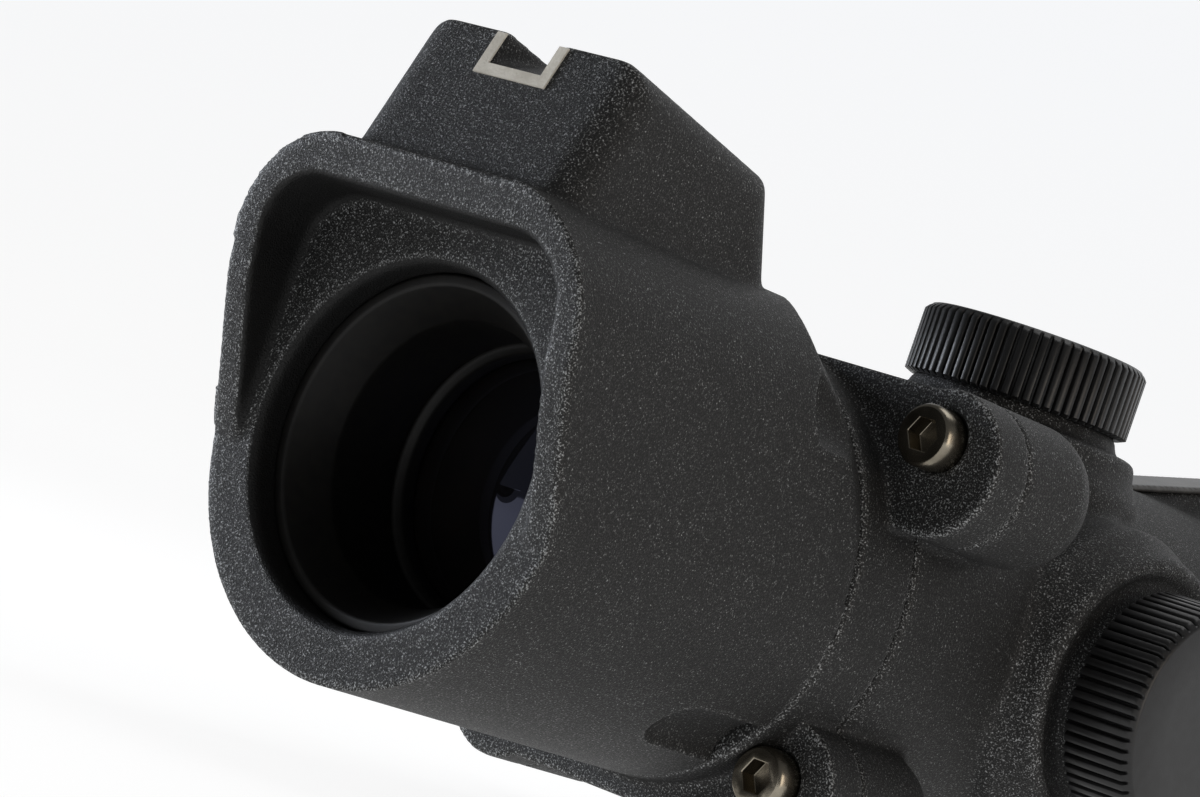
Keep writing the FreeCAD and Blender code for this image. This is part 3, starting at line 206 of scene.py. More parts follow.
def coated_casting(name="textured_black_coating", wear=0.06):
    """Rough black textured coating on cast aluminium, with painted shade inside the hood: near black where
    faces look in at the axis.

    It reads as dark sandpaper: pale grains show through on worn edges, and faces turned rearward carry
    painted light, lighter and glossier by up to wear.
    """
    made = bpy.data.materials.get(name)
    if made:
        return made
    look = bpy.context.scene.sight_castings
    made, tree, shader, place = new_material(name, IOR=1.38)
    grain_scale = 1 / look.grain
    patch_scale = grain_scale * 0.03
    edge_wear, patch_wear = 0.12, 0.06
    grain = add(tree, "ShaderNodeTexNoise", {"Vector": place, "Scale": grain_scale, "Detail": 2.0,
                                             "Roughness": 0.6})
    patch = add(tree, "ShaderNodeTexNoise", {"Vector": place, "Scale": patch_scale, "Detail": 2.0})
    normal = add(tree, "ShaderNodeTexCoord").outputs["Normal"]
    backwards = add(tree, "ShaderNodeSeparateXYZ", {"Vector": normal}).outputs["Y"]
    # painted light: faces turned rearward are lifted towards the pale fleck colour and a glossier
    # roughness
    rear_painted_light = add(tree, "ShaderNodeMapRange", {"Value": backwards, "From Min": -0.15,
                                              "From Max": -0.9, "To Min": 0.0, "To Max": wear})
    edges = add(tree, "ShaderNodeAttribute", attribute_name="edge_wear").outputs["Fac"]
    ground = add(tree, "ShaderNodeMath", {0: edges, 1: edge_wear, 2: grain.outputs["Fac"]},
                 operation="MULTIPLY_ADD")
    # edge wear and grain, plus the painted light on rearward faces
    worn = add(tree, "ShaderNodeMath", {0: ground.outputs["Value"], 1: rear_painted_light.outputs["Result"]},
               operation="ADD")
    tone = add(tree, "ShaderNodeMath", {0: patch.outputs["Fac"], 1: patch_wear,
                                        2: worn.outputs["Value"]}, operation="MULTIPLY_ADD")
    colour = ramp(tree, tone.outputs["Value"], [(0.45, "0d0d0d"), (0.61, look.coating),
                                                (0.68, "323231"), (0.82, look.fleck)])
    # painted shade: faces that look in at the axis are mixed to near black 060606 for the deep shade
    # inside the hood
    painted_hood_shade = add(tree, "ShaderNodeMix", {"Factor": facing_the_axis(tree, place, normal)},
                  data_type="RGBA")
    tree.links.new(colour, painted_hood_shade.inputs["A"])
    painted_hood_shade.inputs["B"].default_value = srgb("060606")
    tree.links.new(painted_hood_shade.outputs["Result"], shader.inputs["Base Color"])
    gloss = add(tree, "ShaderNodeMapRange", {"Value": tone.outputs["Value"], "From Min": 0.5,
                                             "From Max": 0.8, "To Min": 0.66, "To Max": 0.4})
    tree.links.new(gloss.outputs["Result"], shader.inputs["Roughness"])
    bump = add(tree, "ShaderNodeBump", {"Height": grain.outputs["Fac"], "Strength": 0.8,
                                        "Distance": look.grain * 0.8})
    tree.links.new(bump.outputs["Normal"], shader.inputs["Normal"])
    return made


def coated_casting_more_rear_light():
    """The same coating with a little more painted light on rearward faces, on the flange and the main
    body.
    """
    return coated_casting("black_coating_more_rear_light", 0.07)


def noise_finish(name, dark, pale, size, roughness, bump=0.0, **values):
    """A finish with a slow change of tone and a fine bump, both from noise of a real size."""
    made = bpy.data.materials.get(name)
    if made:
        return made
    made, tree, shader, place = new_material(name, Roughness=roughness, **values)
    mottle_scale, grain_scale = 0.12 / size, 1 / size
    tone = add(tree, "ShaderNodeTexNoise", {"Vector": place, "Scale": mottle_scale, "Detail": 3.0})
    colour = ramp(tree, tone.outputs["Fac"], [(0.35, dark), (0.65, pale)])
    tree.links.new(colour, shader.inputs["Base Color"])
    if bump:
        fine = add(tree, "ShaderNodeTexNoise", {"Vector": place, "Scale": grain_scale,
                                                "Detail": 2.0})
        relief = add(tree, "ShaderNodeBump", {"Height": fine.outputs["Fac"], "Distance": size * 0.5,
                                              "Strength": bump})
        tree.links.new(relief.outputs["Normal"], shader.inputs["Normal"])
    return made


def anodised_black():
    """Satin black anodised aluminium, bead blasted before anodising."""
    colour = bpy.context.scene.sight_caps.colour
    return noise_finish("satin_black_anodising", "151515", colour, 0.12 * MM, 0.38, 0.18,
                        Metallic=0.25, IOR=1.5)


def lens_ring_black():
    """Matt black anodised lens rings with a faint warm sheen."""
    return noise_finish("matt_black_lens_ring", "070606", "0e0d0b", 0.1 * MM, 0.5, 0.1, IOR=1.33)


def dark_steel():
    """Polished screw steel with a smoke-coloured oxide."""
    return noise_finish("polished_oxide_steel", "6a6459", "958e80", 0.3 * MM, 0.24, 0.05, Metallic=1.0)


def white_enamel():
    """Off-white brushed-in enamel, slightly grainy and worn."""
    return noise_finish("off_white_enamel", "c9c3b6", "e2ddd1", 0.2 * MM, 0.6, 0.5, IOR=1.5)


def rubber_black():
    """Matt nitrile rubber."""
    return noise_finish("nitrile_rubber", "0f0f0f", "191919", 0.2 * MM, 0.75, 0.2, IOR=1.5)


def turned_aluminium():
    """Bare turned aluminium."""
    return noise_finish("turned_aluminium", "9fa1a4", "c3c5c8", 0.15 * MM, 0.32, 0.1, Metallic=1.0)


def turned_brass():
    """Bare turned brass."""
    return noise_finish("turned_brass", "a98545", "cda85e", 0.15 * MM, 0.28, 0.1, Metallic=1.0)


def board_green():
    """Green solder mask over glass cloth."""
    return noise_finish("green_solder_mask", "0b3a1b", "14552a", 0.2 * MM, 0.4, 0.2, IOR=1.5)


def cell_steel():
    """Nickel-plated battery can."""
    return noise_finish("nickel_plate", "a9aaa8", "cfd0cd", 0.3 * MM, 0.18, 0.04, Metallic=1.0)


def red_acrylic():
    """Fluorescent red acrylic rod."""
    return noise_finish("fluorescent_red_acrylic", "b3160f", "d8301f", 0.5 * MM, 0.2, 0.0, IOR=1.49)


def satin_grey():
    """Worn satin grey anodised strip."""
    return noise_finish("satin_grey_anodising", "3a3937", "4a4846", 0.25 * MM, 0.42, 0.2,
                        Metallic=0.3, IOR=1.5)


def coated_glass():
    """Ground optical glass, almost black, whose coating leaves a faint blue-violet sheen."""
    made = bpy.data.materials.get("coated_optical_glass")
    if made:
        return made
    made, tree, shader, place = new_material(
        "coated_optical_glass", Roughness=0.04, IOR=1.6, Transmission_Weight=0.12,
        Specular_Tint=srgb("8f9bd8"), Coat_Weight=0.3, Coat_Roughness=0.02)
    haze_scale = 180.0      # patches of haze about 5.5 mm across
    haze = add(tree, "ShaderNodeTexNoise", {"Vector": place, "Scale": haze_scale, "Detail": 2.0})
    colour = ramp(tree, haze.outputs["Fac"], [(0.3, "0b0a0a"), (0.7, "141211")])
    tree.links.new(colour, shader.inputs["Base Color"])
    return made


def backlit_sweep(low, high, glow):
    """Translucent white acrylic lit evenly from behind, a shade cooler higher up."""
    made, tree, shader, place = new_material("backlit_white_acrylic", Roughness=0.9, IOR=1.2,
                                             Base_Color=srgb("808080"), Emission_Strength=glow)
    height = add(tree, "ShaderNodeSeparateXYZ", {"Vector": place}).outputs["Z"]
    climb = add(tree, "ShaderNodeMapRange", {"Value": height, "From Min": 0.05, "From Max": 0.45})
    colour = ramp(tree, climb.outputs["Result"], [(0.0, low), (1.0, high)])
    tree.links.new(colour, shader.inputs["Emission Color"])
    return made


# what each of the record's material slots is finished with
FINISHES = {
    "cast_black": coated_casting,
    "anodised_black": anodised_black,
    "lens_ring_black": lens_ring_black,
    "coated_glass": coated_glass,
    "dark_steel": dark_steel,
    "rubber_seal": rubber_black,
    "plain_aluminium": turned_aluminium,
    "brass": turned_brass,
    "white_paint": white_enamel,
    "circuit_board": board_green,
    "cell_steel": cell_steel,
    "emitter_red": red_acrylic,
    "light_pipe_red": red_acrylic,
    "satin_grey": satin_grey,
}


# ------------------------------------------------------------------ meshes

def link_piece(name, mesh, material, body, replaced):
    """Show a finished mesh as a piece that rides on a body and stands for a CAD node."""
    piece = bpy.data.objects.new(name, mesh)
    bpy.context.scene.collection.objects.link(piece)
    mesh.materials.clear()
    mesh.materials.append(material)
    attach(piece, body)
    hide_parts(replaced)


def new_mesh(built, name):
    """A named mesh from a bmesh, which is then let go."""
    mesh = bpy.data.meshes.new(name)
    built.to_mesh(mesh)
    built.free()
    return mesh


def weld_new_shape(built):
    """Join the points of a new shape that fall together, and drop what has no length."""
    bmesh.ops.remove_doubles(built, verts=built.verts, dist=WELD)
    bmesh.ops.dissolve_degenerate(built, edges=built.edges, dist=SLIVER)


def work_object(mesh, name):
    """A passing object that carries a mesh while its modifiers are worked out."""
    carrier = bpy.data.objects.new(name, mesh)
    bpy.context.scene.collection.objects.link(carrier)
    return carrier


def baked(carrier, name):
    """The finished mesh of a work object, which is then removed."""
    bpy.context.view_layer.update()
    evaluated = carrier.evaluated_get(bpy.context.evaluated_depsgraph_get())
    result = bpy.data.meshes.new_from_object(evaluated)
    result.name = name
    bpy.data.objects.remove(carrier)
    return result


def settled(source, modifiers, name):
    """Apply a list of (type, settings) modifiers to a mesh and return the plain result."""
    carrier = work_object(source, name + "_work")
    for kind, values in modifiers:
        modifier = carrier.modifiers.new(kind.lower(), kind)
        for key, value in values.items():
            setattr(modifier, key, value)
    return baked(carrier, name)


def welded_copy(node):
    """A copy of a CAD node's mesh with its loose triangles merged."""
    mesh = frame["nodes"][node].data.copy()
    mesh.materials.clear()
    built = bmesh.new()
    built.from_mesh(mesh)
    bmesh.ops.remove_doubles(built, verts=built.verts, dist=CAD_WELD)
    built.to_mesh(mesh)
    built.free()
    return mesh


def softened_casting(node, voxel, passes, keep):
    """Remesh a piece evenly, round its edges and thin the mesh again, inside its CAD box."""
    low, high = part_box(node)
    mesh = settled(welded_copy(node), [
        ("REMESH", {"mode": "VOXEL", "voxel_size": voxel, "adaptivity": 0.0}),
        ("SMOOTH", {"factor": 0.5, "iterations": passes}),
        ("DECIMATE", {"ratio": keep}),
    ], node + "_finished")
    for vertex in mesh.vertices:
        for i in range(3):
            vertex.co[i] = min(max(vertex.co[i], low[i]), high[i])
    mesh.shade_smooth()
    return mesh


def mark_edge_wear(mesh, sharpest):
    """Store on each vertex how far it stands on a convex edge, from 0 on flat metal to 1."""
    count = len(mesh.vertices)
    bulge, near = [0.0] * count, [1] * count
    for edge in mesh.edges:
        first, second = (mesh.vertices[i] for i in edge.vertices)
        step = second.co - first.co
        bend = (second.normal - first.normal).dot(step) / max(step.length_squared, 1e-12)
        for number in edge.vertices:
            bulge[number] += bend
            near[number] += 1
    wear = [min(max(total * sharpest / many, 0.0), 1.0) for total, many in zip(bulge, near)]
    smooth = list(wear)
    for edge in mesh.edges:
        a, b = edge.vertices
        smooth[a] += wear[b]
        smooth[b] += wear[a]
    layer = mesh.attributes.new("edge_wear", "FLOAT", "POINT")
    layer.data.foreach_set("value", [total / many for total, many in zip(smooth, near)])


def trued(mesh, centre, radius, wanted):
    """Carry the facets of a round surface out to its true radius about an axis along the tube."""
    proud, reach, fade = 0.1 * MM, 0.6 * MM, 0.3 * MM
    for vertex in mesh.vertices:
        out = Vector((vertex.co.x - centre.x, 0, vertex.co.z - centre.z))
        short = radius - out.length
        if -proud < short < reach and wanted(out):
            pull = min(1.0, (reach - short) / fade)
            vertex.co += out.normalized() * short * pull


def true_hood(mesh):
    """Make the hood's lower half and its two upper corners truly round again."""
    low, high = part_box("rear_hood")
    half_width = (high.x - low.x) / 2
    trued(mesh, AXIS, half_width, lambda out: out.z < 0)
    for side in (1, -1):
        centre = Vector((side * (half_width - HOOD_CORNER), 0, AXIS.z + HOOD_CROWN - HOOD_CORNER))
        trued(mesh, centre, HOOD_CORNER, lambda out: out.x * side > 0 and out.z > 0)


def lathe(name, profile, axis_place):
    """Turn a closed list of (radius, height) points in millimetres about a placed Z axis."""
    built = bmesh.new()
    rings = []
    for step in range(LATHE_STEPS):
        angle = 2 * math.pi * step / LATHE_STEPS
        cosine, sine = math.cos(angle), math.sin(angle)
        rings.append([built.verts.new(axis_place @ Vector((r * MM * cosine, r * MM * sine, h * MM)))
                      for r, h in profile])
    count = len(profile)
    for step in range(LATHE_STEPS):
        here, there = rings[step], rings[(step + 1) % LATHE_STEPS]
        for i in range(count):
            j = (i + 1) % count
            built.faces.new((here[i], there[i], there[j], here[j]))
    weld_new_shape(built)
    bmesh.ops.recalc_face_normals(built, faces=built.faces)
    mesh = new_mesh(built, name)
    mesh.shade_smooth()
    return mesh


def rounded(profile, radius):
    """Round every corner of a closed profile by about the given radius in millimetres."""
    points = []
    count = len(profile)
    for i, (r, h) in enumerate(profile):
        corner = Vector((r, h))
        before = Vector(profile[i - 1]) - corner
        after = Vector(profile[(i + 1) % count]) - corner
        reach = min(radius, 0.45 * before.length, 0.45 * after.length)
        start = corner + before.normalized() * reach
        end = corner + after.normalized() * reach
        for step in range(CORNER_STEPS + 1):
            t = step / CORNER_STEPS
            point = start * (1 - t) ** 2 + corner * 2 * t * (1 - t) + end * t ** 2
            points.append((point.x, point.y))
    return points


def placed_axis(centre, turn):
    """A matrix that carries a local Z axis to a centre, turned by a rotation."""
    return Matrix.Translation(centre) @ turn


# ------------------------------------------------------------------ Geometry Nodes for what repeats

def geometry_tree(name, inputs):
    """A Geometry Nodes tree with a geometry in and out and the named inputs, and its input node."""
    tree = bpy.data.node_groups.new(name, "GeometryNodeTree")
    tree.interface.new_socket("Geometry", in_out="INPUT", socket_type="NodeSocketGeometry")
    for title, kind in inputs:
        tree.interface.new_socket(title, in_out="INPUT", socket_type=kind)
    tree.interface.new_socket("Geometry", in_out="OUTPUT", socket_type="NodeSocketGeometry")
    return tree, add(tree, "NodeGroupInput")


def end_tree(tree, geometry, material):
    """Give the geometry its material and send it out of the tree."""
    finish = add(tree, "GeometryNodeSetMaterial", {"Geometry": geometry, "Material": material})
    end = add(tree, "NodeGroupOutput")
    tree.links.new(finish.outputs["Geometry"], end.inputs["Geometry"])


def repeat_round_tree(name, material):
    """A node tree that repeats a mesh round the Z axis a number of times and welds the copies."""
    tree, start = geometry_tree(name, (("Count", "NodeSocketInt"), ("Weld", "NodeSocketFloat")))
    points = add(tree, "GeometryNodeMeshLine", {"Count": start.outputs["Count"], "Offset": (0, 0, 0)})
    index = add(tree, "GeometryNodeInputIndex")
    step = add(tree, "ShaderNodeMath", {0: 2 * math.pi, 1: start.outputs["Count"]},
               operation="DIVIDE")
    angle = add(tree, "ShaderNodeMath", {0: index.outputs["Index"], 1: step.outputs["Value"]},
                operation="MULTIPLY")
    turn = add(tree, "ShaderNodeCombineXYZ", {"Z": angle.outputs["Value"]})
    copies = add(tree, "GeometryNodeInstanceOnPoints", {
        "Points": points.outputs["Mesh"], "Instance": start.outputs["Geometry"],
        "Rotation": turn.outputs["Vector"]})
    real = add(tree, "GeometryNodeRealizeInstances", {"Geometry": copies.outputs["Instances"]})
    weld = add(tree, "GeometryNodeMergeByDistance", {"Geometry": real.outputs["Geometry"],
                                                     "Distance": start.outputs["Weld"]})
    end_tree(tree, weld.outputs["Geometry"], material)
    return tree


def copies_on_points_tree(name, material):
    """A node tree that puts a copy of an object on each point of a mesh."""
    tree, start = geometry_tree(name, (("Piece", "NodeSocketObject"),))
    piece = add(tree, "GeometryNodeObjectInfo", {"Object": start.outputs["Piece"]})
    copies = add(tree, "GeometryNodeInstanceOnPoints", {
        "Points": start.outputs["Geometry"], "Instance": piece.outputs["Geometry"]})
    real = add(tree, "GeometryNodeRealizeInstances", {"Geometry": copies.outputs["Instances"]})
    end_tree(tree, real.outputs["Geometry"], material)
    return tree


def islands(mesh):
    """The separate shells of a mesh, each as a list of its vertices' numbers."""
    built = bmesh.new()
    built.from_mesh(mesh)
    built.verts.ensure_lookup_table()
    left = set(range(len(built.verts)))
    shells = []
    while left:
        shell, waiting = [], [left.pop()]
        while waiting:
            number = waiting.pop()
            shell.append(number)
            for edge in built.verts[number].link_edges:
                other = edge.other_vert(built.verts[number]).index
                if other in left:
                    left.remove(other)
                    waiting.append(other)
        shells.append(shell)
    built.free()
    return shells


def one_shell(mesh, shell, centre):
    """A mesh of one shell alone, moved from its centre to the origin, its flat faces whole again."""
    kept = set(shell)
    built = bmesh.new()
    built.from_mesh(mesh)
    built.verts.ensure_lookup_table()
    others = [vertex for vertex in built.verts if vertex.index not in kept]
    bmesh.ops.delete(built, geom=others, context="VERTS")
    bmesh.ops.translate(built, verts=built.verts, vec=-centre)
    bmesh.ops.dissolve_limit(built, angle_limit=math.radians(1), verts=built.verts,
                             edges=built.edges)
    return new_mesh(built, "one_screw")


def repeated(source, tree, values, name):
    """Run a node tree on a mesh with named input values and return the plain result."""
    carrier = work_object(source, name + "_work")
    modifier = carrier.modifiers.new("repeat", "NODES")
    modifier.node_group = tree
    for item in tree.interface.items_tree:
        if item.item_type == "SOCKET" and item.in_out == "INPUT" and item.name in values:
            modifier[item.identifier] = values[item.name]
    return baked(carrier, name)


def knurl_sector(name, teeth, radius, bore, height, groove, roof):
    """One tooth's slice of a knurled cap: rim, fluted side, smooth lip, top and hollow inside.

    Sizes are in millimetres. The slice is a grid: columns across the tooth, rows along its outline.
    """
    half = math.pi / teeth
    # place across the tooth, from -1 to 1, and the share of the groove's depth that is cut there
    flutes = [(-1.0, 1.0), (-0.84, 1.0), (-0.62, 0.1), (-0.5, 0.0), (0.5, 0.0), (0.62, 0.1),
              (0.84, 1.0), (1.0, 1.0)]
    # height, and distance in from the full radius, up the side from the rim to the lip
    side = [(0.0, groove + 0.1), (0.22, 0.0), (height - groove - 0.2, 0.0),
            (height - 0.34, groove * 0.55), (height - 0.2, groove), (height - 0.07, groove + 0.1)]
    # radius and height, in over the top and back down the bore
    top = [(radius - groove - 0.3, height), (radius * 0.5, height), (0.0, height)]
    inside = [(0.0, height - roof), (bore - 0.3, height - roof), (bore, height - roof - 0.3),
              (bore, 0.25), (bore + 0.2, 0.0)]
    built = bmesh.new()
    columns = []
    for across, depth in flutes:
        cosine, sine = math.cos(across * half), math.sin(across * half)
        column = [(radius - max(depth * groove, inset), h) for h, inset in side] + top + inside
        columns.append([built.verts.new((r * MM * cosine, r * MM * sine, h * MM))
                        for r, h in column])
    rows = len(columns[0])
    for here, there in zip(columns, columns[1:]):
        for i in range(rows):
            j = (i + 1) % rows
            built.faces.new((here[i], there[i], there[j], here[j]))
    weld_new_shape(built)
    return new_mesh(built, name)


def cleaned(mesh, sharp_angle):
    """Turn a closed mesh's faces outwards and shade it smooth, but sharp past an angle."""
    built = bmesh.new()
    built.from_mesh(mesh)
    bmesh.ops.remove_doubles(built, verts=built.verts, dist=WELD)
    bmesh.ops.recalc_face_normals(built, faces=built.faces)
    built.to_mesh(mesh)
    built.free()
    mesh.shade_smooth()
    mesh.set_sharp_from_angle(angle=sharp_angle)
    return mesh


# ------------------------------------------------------------------ operators, one for each piece or group

# CAD node, voxel of its even mesh, share of the triangles kept, share of the rounding, finish
CASTINGS = (
    ("rear_hood", 0.3 * MM, 0.8, 1.0, coated_casting),
    ("clamp_flange", 0.28 * MM, 0.7, 0.5, coated_casting_more_rear_light),
    ("main_body", 0.42 * MM, 0.5, 0.5, coated_casting_more_rear_light),
)
CASTING_EDGE = 0.8 * MM     # an edge as round as this or sharper is fully worn

# CAD node, the body that it rides on, its material slot
SMALL_PARTS = (
    ("brightness_knob", "knob", "anodised_black"),
    ("battery_cap", "cell_cover", "anodised_black"),
    ("front_sight_blade", "housing", "anodised_black"),
    ("light_pipe_cover", "housing", "satin_grey"),
)
SMALL_VOXEL, SMALL_PASSES, SMALL_KEEP = 0.17 * MM, 2, 0.35

SCREW_EDGE = {"width": 0.09 * MM, "segments": 3, "limit_method": "ANGLE",
              "angle_limit": math.radians(40)}
SCREW_COUNT = 4

# outlines of the two turned rings in millimetres: radius, distance forward of the eyepiece's face
RINGS = {
    "eyepiece_bezel": [(12.1, 2.2), (12.95, 2.2), (12.95, 12.0), (10.4, 12.0), (10.4, 5.6)],
    "eye_lens_retainer": [(9.7, 12.5), (10.2, 12.0), (12.0, 12.0), (12.0, 13.7), (9.7, 13.7)],
}
RING_EDGE = 0.22            # millimetres


class SIGHT_OT_castings(bpy.types.Operator):
    """Finish the hood, the flange and the main body as rounded, coated castings"""
    bl_idname = "sight.castings"
    bl_label = "Castings"

    def execute(self, context):
        passes = context.scene.sight_castings.rounding
        for node, voxel, keep, share, finish in CASTINGS:
            mesh = softened_casting(node, voxel, int(passes * share), keep)
            if node == "rear_hood":
                true_hood(mesh)
            mark_edge_wear(mesh, CASTING_EDGE)
            link_piece(node + "_casting", mesh, finish(), "housing", node)
        return {"FINISHED"}


class SIGHT_OT_controls(bpy.types.Operator):
    """Round the edges of the knob, the battery cap, the front post and the light pipe's cover"""
    bl_idname = "sight.controls"
    bl_label = "Knob, battery cap, front post and cover"

    def execute(self, context):
        for node, body, slot in SMALL_PARTS:
            mesh = softened_casting(node, SMALL_VOXEL, SMALL_PASSES, SMALL_KEEP)
            link_piece(node + "_finished", mesh, FINISHES[slot](), body, node)
        return {"FINISHED"}


class SIGHT_OT_caps(bpy.types.Operator):
    """Knurl the elevation and windage caps"""
    bl_idname = "sight.caps"
    bl_label = "Adjuster caps"

    def execute(self, context):
        look = context.scene.sight_caps
        tree = repeat_round_tree("knurl_round_axis", anodised_black())
        for name, turn, axis in (("elevation", UPWARD, 2), ("windage", RIGHTWARD, 0)):
            low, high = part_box(name + "_cap")
            centre = (low + high) / 2
            centre[axis] = low[axis]
            height = (high[axis] - low[axis]) / MM
            radius = (high.y - low.y) / MM / 2
            sector = knurl_sector(name + "_sector", look.teeth, radius, CAP_BORE, height,
                                  look.groove / MM, CAP_ROOF)
            mesh = repeated(sector, tree, {"Count": look.teeth, "Weld": TOOTH_WELD},
                            name + "_cap_knurled")
            mesh.transform(placed_axis(centre, turn))
            cleaned(mesh, math.radians(40))
            link_piece(name + "_cap_knurled", mesh, anodised_black(), name + "_cover",
                       name + "_cap")
        return {"FINISHED"}


class SIGHT_OT_screws(bpy.types.Operator):
    """Make the four socket-head screws of the flange"""
    bl_idname = "sight.screws"
    bl_label = "Flange screws"

    def execute(self, context):
        four = welded_copy("flange_screws")
        shells = islands(four)
        if len(shells) != SCREW_COUNT:
            raise RuntimeError(f"the flange should have {SCREW_COUNT} screws")
        centres = [sum((four.vertices[i].co for i in shell), Vector()) / len(shell)
                   for shell in shells]
        one = one_shell(four, shells[0], centres[0])
        screw = work_object(settled(one, [("BEVEL", SCREW_EDGE)], "one_screw"), "one_screw")
        points = bpy.data.meshes.new("screw_points")
        points.from_pydata(centres, [], [])
        tree = copies_on_points_tree("screws_on_flange", dark_steel())
        mesh = repeated(points, tree, {"Piece": screw}, "flange_screws_polished")
        bpy.data.objects.remove(screw)
        link_piece("flange_screws_polished", cleaned(mesh, math.radians(30)), dark_steel(),
                   "housing", "flange_screws")
        return {"FINISHED"}


class SIGHT_OT_optics(bpy.types.Operator):
    """Turn the two rings round the rear lens"""
    bl_idname = "sight.optics"
    bl_label = "Eyepiece rings"

    def execute(self, context):
        eye = placed_axis(Vector((AXIS.x, EYE_FACE, AXIS.z)), FORWARD)
        for node, profile in RINGS.items():
            mesh = lathe(node + "_turned", rounded(profile, RING_EDGE), eye)
            link_piece(node + "_turned", mesh, lens_ring_black(), "housing",
                       node)
        return {"FINISHED"}


class SIGHT_OT_carried(bpy.types.Operator):
    """Give every CAD part that stays its real finish"""
    bl_idname = "sight.carried"
    bl_label = "Carried parts"

    def execute(self, context):
        slots = {entry["node"]: entry["material_slot"] for entry in frame["record"]["subparts"]}
        for name, piece in frame["nodes"].items():
            finish = FINISHES[slots[name]]()
            piece.data.materials.clear()
            piece.data.materials.append(finish)
        return {"FINISHED"}


# ------------------------------------------------------------------ studio

SWEEP_HALF_WIDTH = 4.0
SWEEP_REAR = -2.0           # the sweep's near end, behind the camera
SWEEP_DEPTH = 3.0           # where it stands upright
SWEEP_CURVE = 2.2           # radius of the bend between floor and wall
SWEEP_HEIGHT = 4.0
SWEEP_STEPS = 10
ROOM_COLOUR = "f6f8fa"

# name, place, width and height in metres, watts, sRGB hex
SOFT_LIGHTS = (
    ("overhead_softbox", (0.0, 0.1, 0.55), (0.3, 0.3), 0.6, "ffffff"),
    ("right_softbox", (0.5, -0.05, 0.1), (0.25, 0.35), 0.72, "fff2e4"),
    ("left_softbox", (-0.45, -0.2, 0.03), (0.15, 0.25), 1.9, "eef4ff"),
)

# the camera's aim, from the middle of the eyepiece's rear face
AIM_RIGHT, AIM_AHEAD, AIM_ABOVE = 9.47 * MM, 8.32 * MM, 7.82 * MM


def studio_sweep(look):
    """One seamless sheet that is the floor and bends up into the background."""
    floor_end = SWEEP_DEPTH - SWEEP_CURVE
    path = [(SWEEP_REAR, 0.0), (floor_end, 0.0)]
    for step in range(1, SWEEP_STEPS + 1):
        angle = math.radians(90 / SWEEP_STEPS * step)
        path.append((floor_end + SWEEP_CURVE * math.sin(angle),
                     SWEEP_CURVE - SWEEP_CURVE * math.cos(angle)))
    path.append((SWEEP_DEPTH, SWEEP_HEIGHT))
    built = bmesh.new()
    rows = [[built.verts.new((side * SWEEP_HALF_WIDTH, y, z)) for side in (-1, 1)]
            for y, z in path]
    for near, far in zip(rows, rows[1:]):
        built.faces.new((near[0], near[1], far[1], far[0]))
    mesh = new_mesh(built, "studio_sweep")
    mesh.shade_smooth()
    mesh.materials.append(backlit_sweep(look.backdrop, look.backdrop_top, look.glow))
    sweep = bpy.data.objects.new("studio_sweep", mesh)
    bpy.context.scene.collection.objects.link(sweep)


def room_light(strength):
    """The even light that comes back from the room."""
    world = bpy.data.worlds.new("studio_world")
    bpy.context.scene.world = world
    world.use_nodes = True
    background = world.node_tree.nodes["Background"]
    background.inputs["Color"].default_value = srgb(ROOM_COLOUR)
    background.inputs["Strength"].default_value = strength


def soft_light(name, place, size, power, colour):
    """A rectangular softbox aimed at the middle of the eyepiece."""
    lamp = bpy.data.lights.new(name, "AREA")
    lamp.shape = "RECTANGLE"
    lamp.size, lamp.size_y = size
    lamp.energy = power
    lamp.color = srgb(colour)[:3]
    holder = bpy.data.objects.new(name, lamp)
    bpy.context.scene.collection.objects.link(holder)
    holder.location = place
    holder.rotation_euler = (AXIS - Vector(place)).to_track_quat("-Z", "Y").to_euler()


def studio_camera(look):
    """A long lens low behind the eyepiece, turned a little about its own line of sight."""
    lens = bpy.data.cameras.new("camera")
    lens.lens = look.lens
    lens.sensor_width = 36.0
    lens.clip_start = 0.01
    lens.dof.use_dof = False
    camera = bpy.data.objects.new("camera", lens)
    bpy.context.scene.collection.objects.link(camera)
    bearing, rise, roll = look.azimuth, look.elevation, look.roll
    back = Vector((math.sin(bearing) * math.cos(rise), -math.cos(bearing) * math.cos(rise),
                   math.sin(rise)))
    level_right = Vector((math.cos(bearing), math.sin(bearing), 0))
    level_up = back.cross(level_right)
    right = math.cos(roll) * level_right + math.sin(roll) * level_up
    up = -math.sin(roll) * level_right + math.cos(roll) * level_up
    aim = Vector((AXIS.x + AIM_RIGHT, EYE_FACE + AIM_AHEAD, AXIS.z + AIM_ABOVE))
    place = Matrix((right, up, back)).transposed().to_4x4()
    place.translation = aim + back * look.distance
    camera.matrix_world = place
    bpy.context.scene.camera = camera


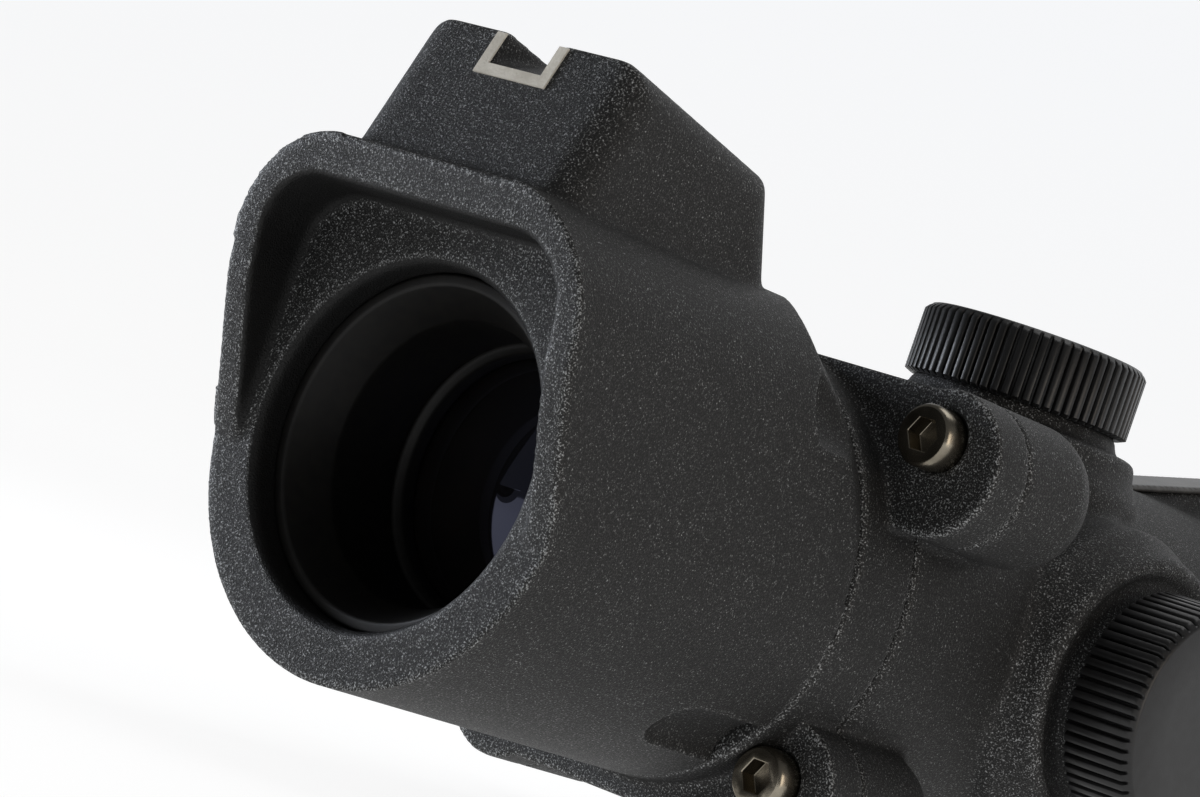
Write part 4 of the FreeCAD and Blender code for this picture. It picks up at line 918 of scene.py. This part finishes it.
class SIGHT_OT_stage(bpy.types.Operator):
    """Set the sweep, the soft lights and the camera"""
    bl_idname = "sight.stage"
    bl_label = "Stage"

    def execute(self, context):
        look = context.scene.sight_stage
        studio_sweep(look)
        room_light(look.fill)
        for light in SOFT_LIGHTS:
            soft_light(*light)
        studio_camera(look)
        context.scene.view_settings.view_transform = "Standard"
        return {"FINISHED"}


# ------------------------------------------------------------------ panel and registration

class SIGHT_PT_panel(bpy.types.Panel):
    """Steps that build the finished sight"""
    bl_label = "Dot Sight"
    bl_idname = "SIGHT_PT_panel"
    bl_space_type = "VIEW_3D"
    bl_region_type = "UI"
    bl_category = "Dot Sight"

    def draw(self, context):
        layout = self.layout
        for group in GROUPS:
            settings = getattr(context.scene, group)
            box = layout.box()
            for name in settings.bl_rna.properties.keys():
                if name not in ("rna_type", "name"):
                    box.prop(settings, name)
        for operator in OPERATORS:
            layout.operator(operator.bl_idname)


GROUPS = {"sight_castings": SightCastings, "sight_caps": SightCaps, "sight_stage": SightStage}
OPERATORS = (SIGHT_OT_carried, SIGHT_OT_castings, SIGHT_OT_controls, SIGHT_OT_caps,
             SIGHT_OT_screws, SIGHT_OT_optics, SIGHT_OT_stage)


def register():
    """Register the settings, the operators and the panel."""
    for name, group in GROUPS.items():
        bpy.utils.register_class(group)
        setattr(bpy.types.Scene, name, bpy.props.PointerProperty(type=group))
    for operator in OPERATORS:
        bpy.utils.register_class(operator)
    bpy.utils.register_class(SIGHT_PT_panel)


def unregister():
    """Remove what register added."""
    bpy.utils.unregister_class(SIGHT_PT_panel)
    for operator in reversed(OPERATORS):
        bpy.utils.unregister_class(operator)
    for name, group in GROUPS.items():
        delattr(bpy.types.Scene, name)
        bpy.utils.unregister_class(group)


def main():
    register()
    bpy.ops.sight.carried()
    bpy.ops.sight.castings()
    bpy.ops.sight.controls()
    bpy.ops.sight.caps()
    bpy.ops.sight.screws()
    bpy.ops.sight.optics()
    bpy.ops.sight.stage()


if __name__ == "__main__":
    main()
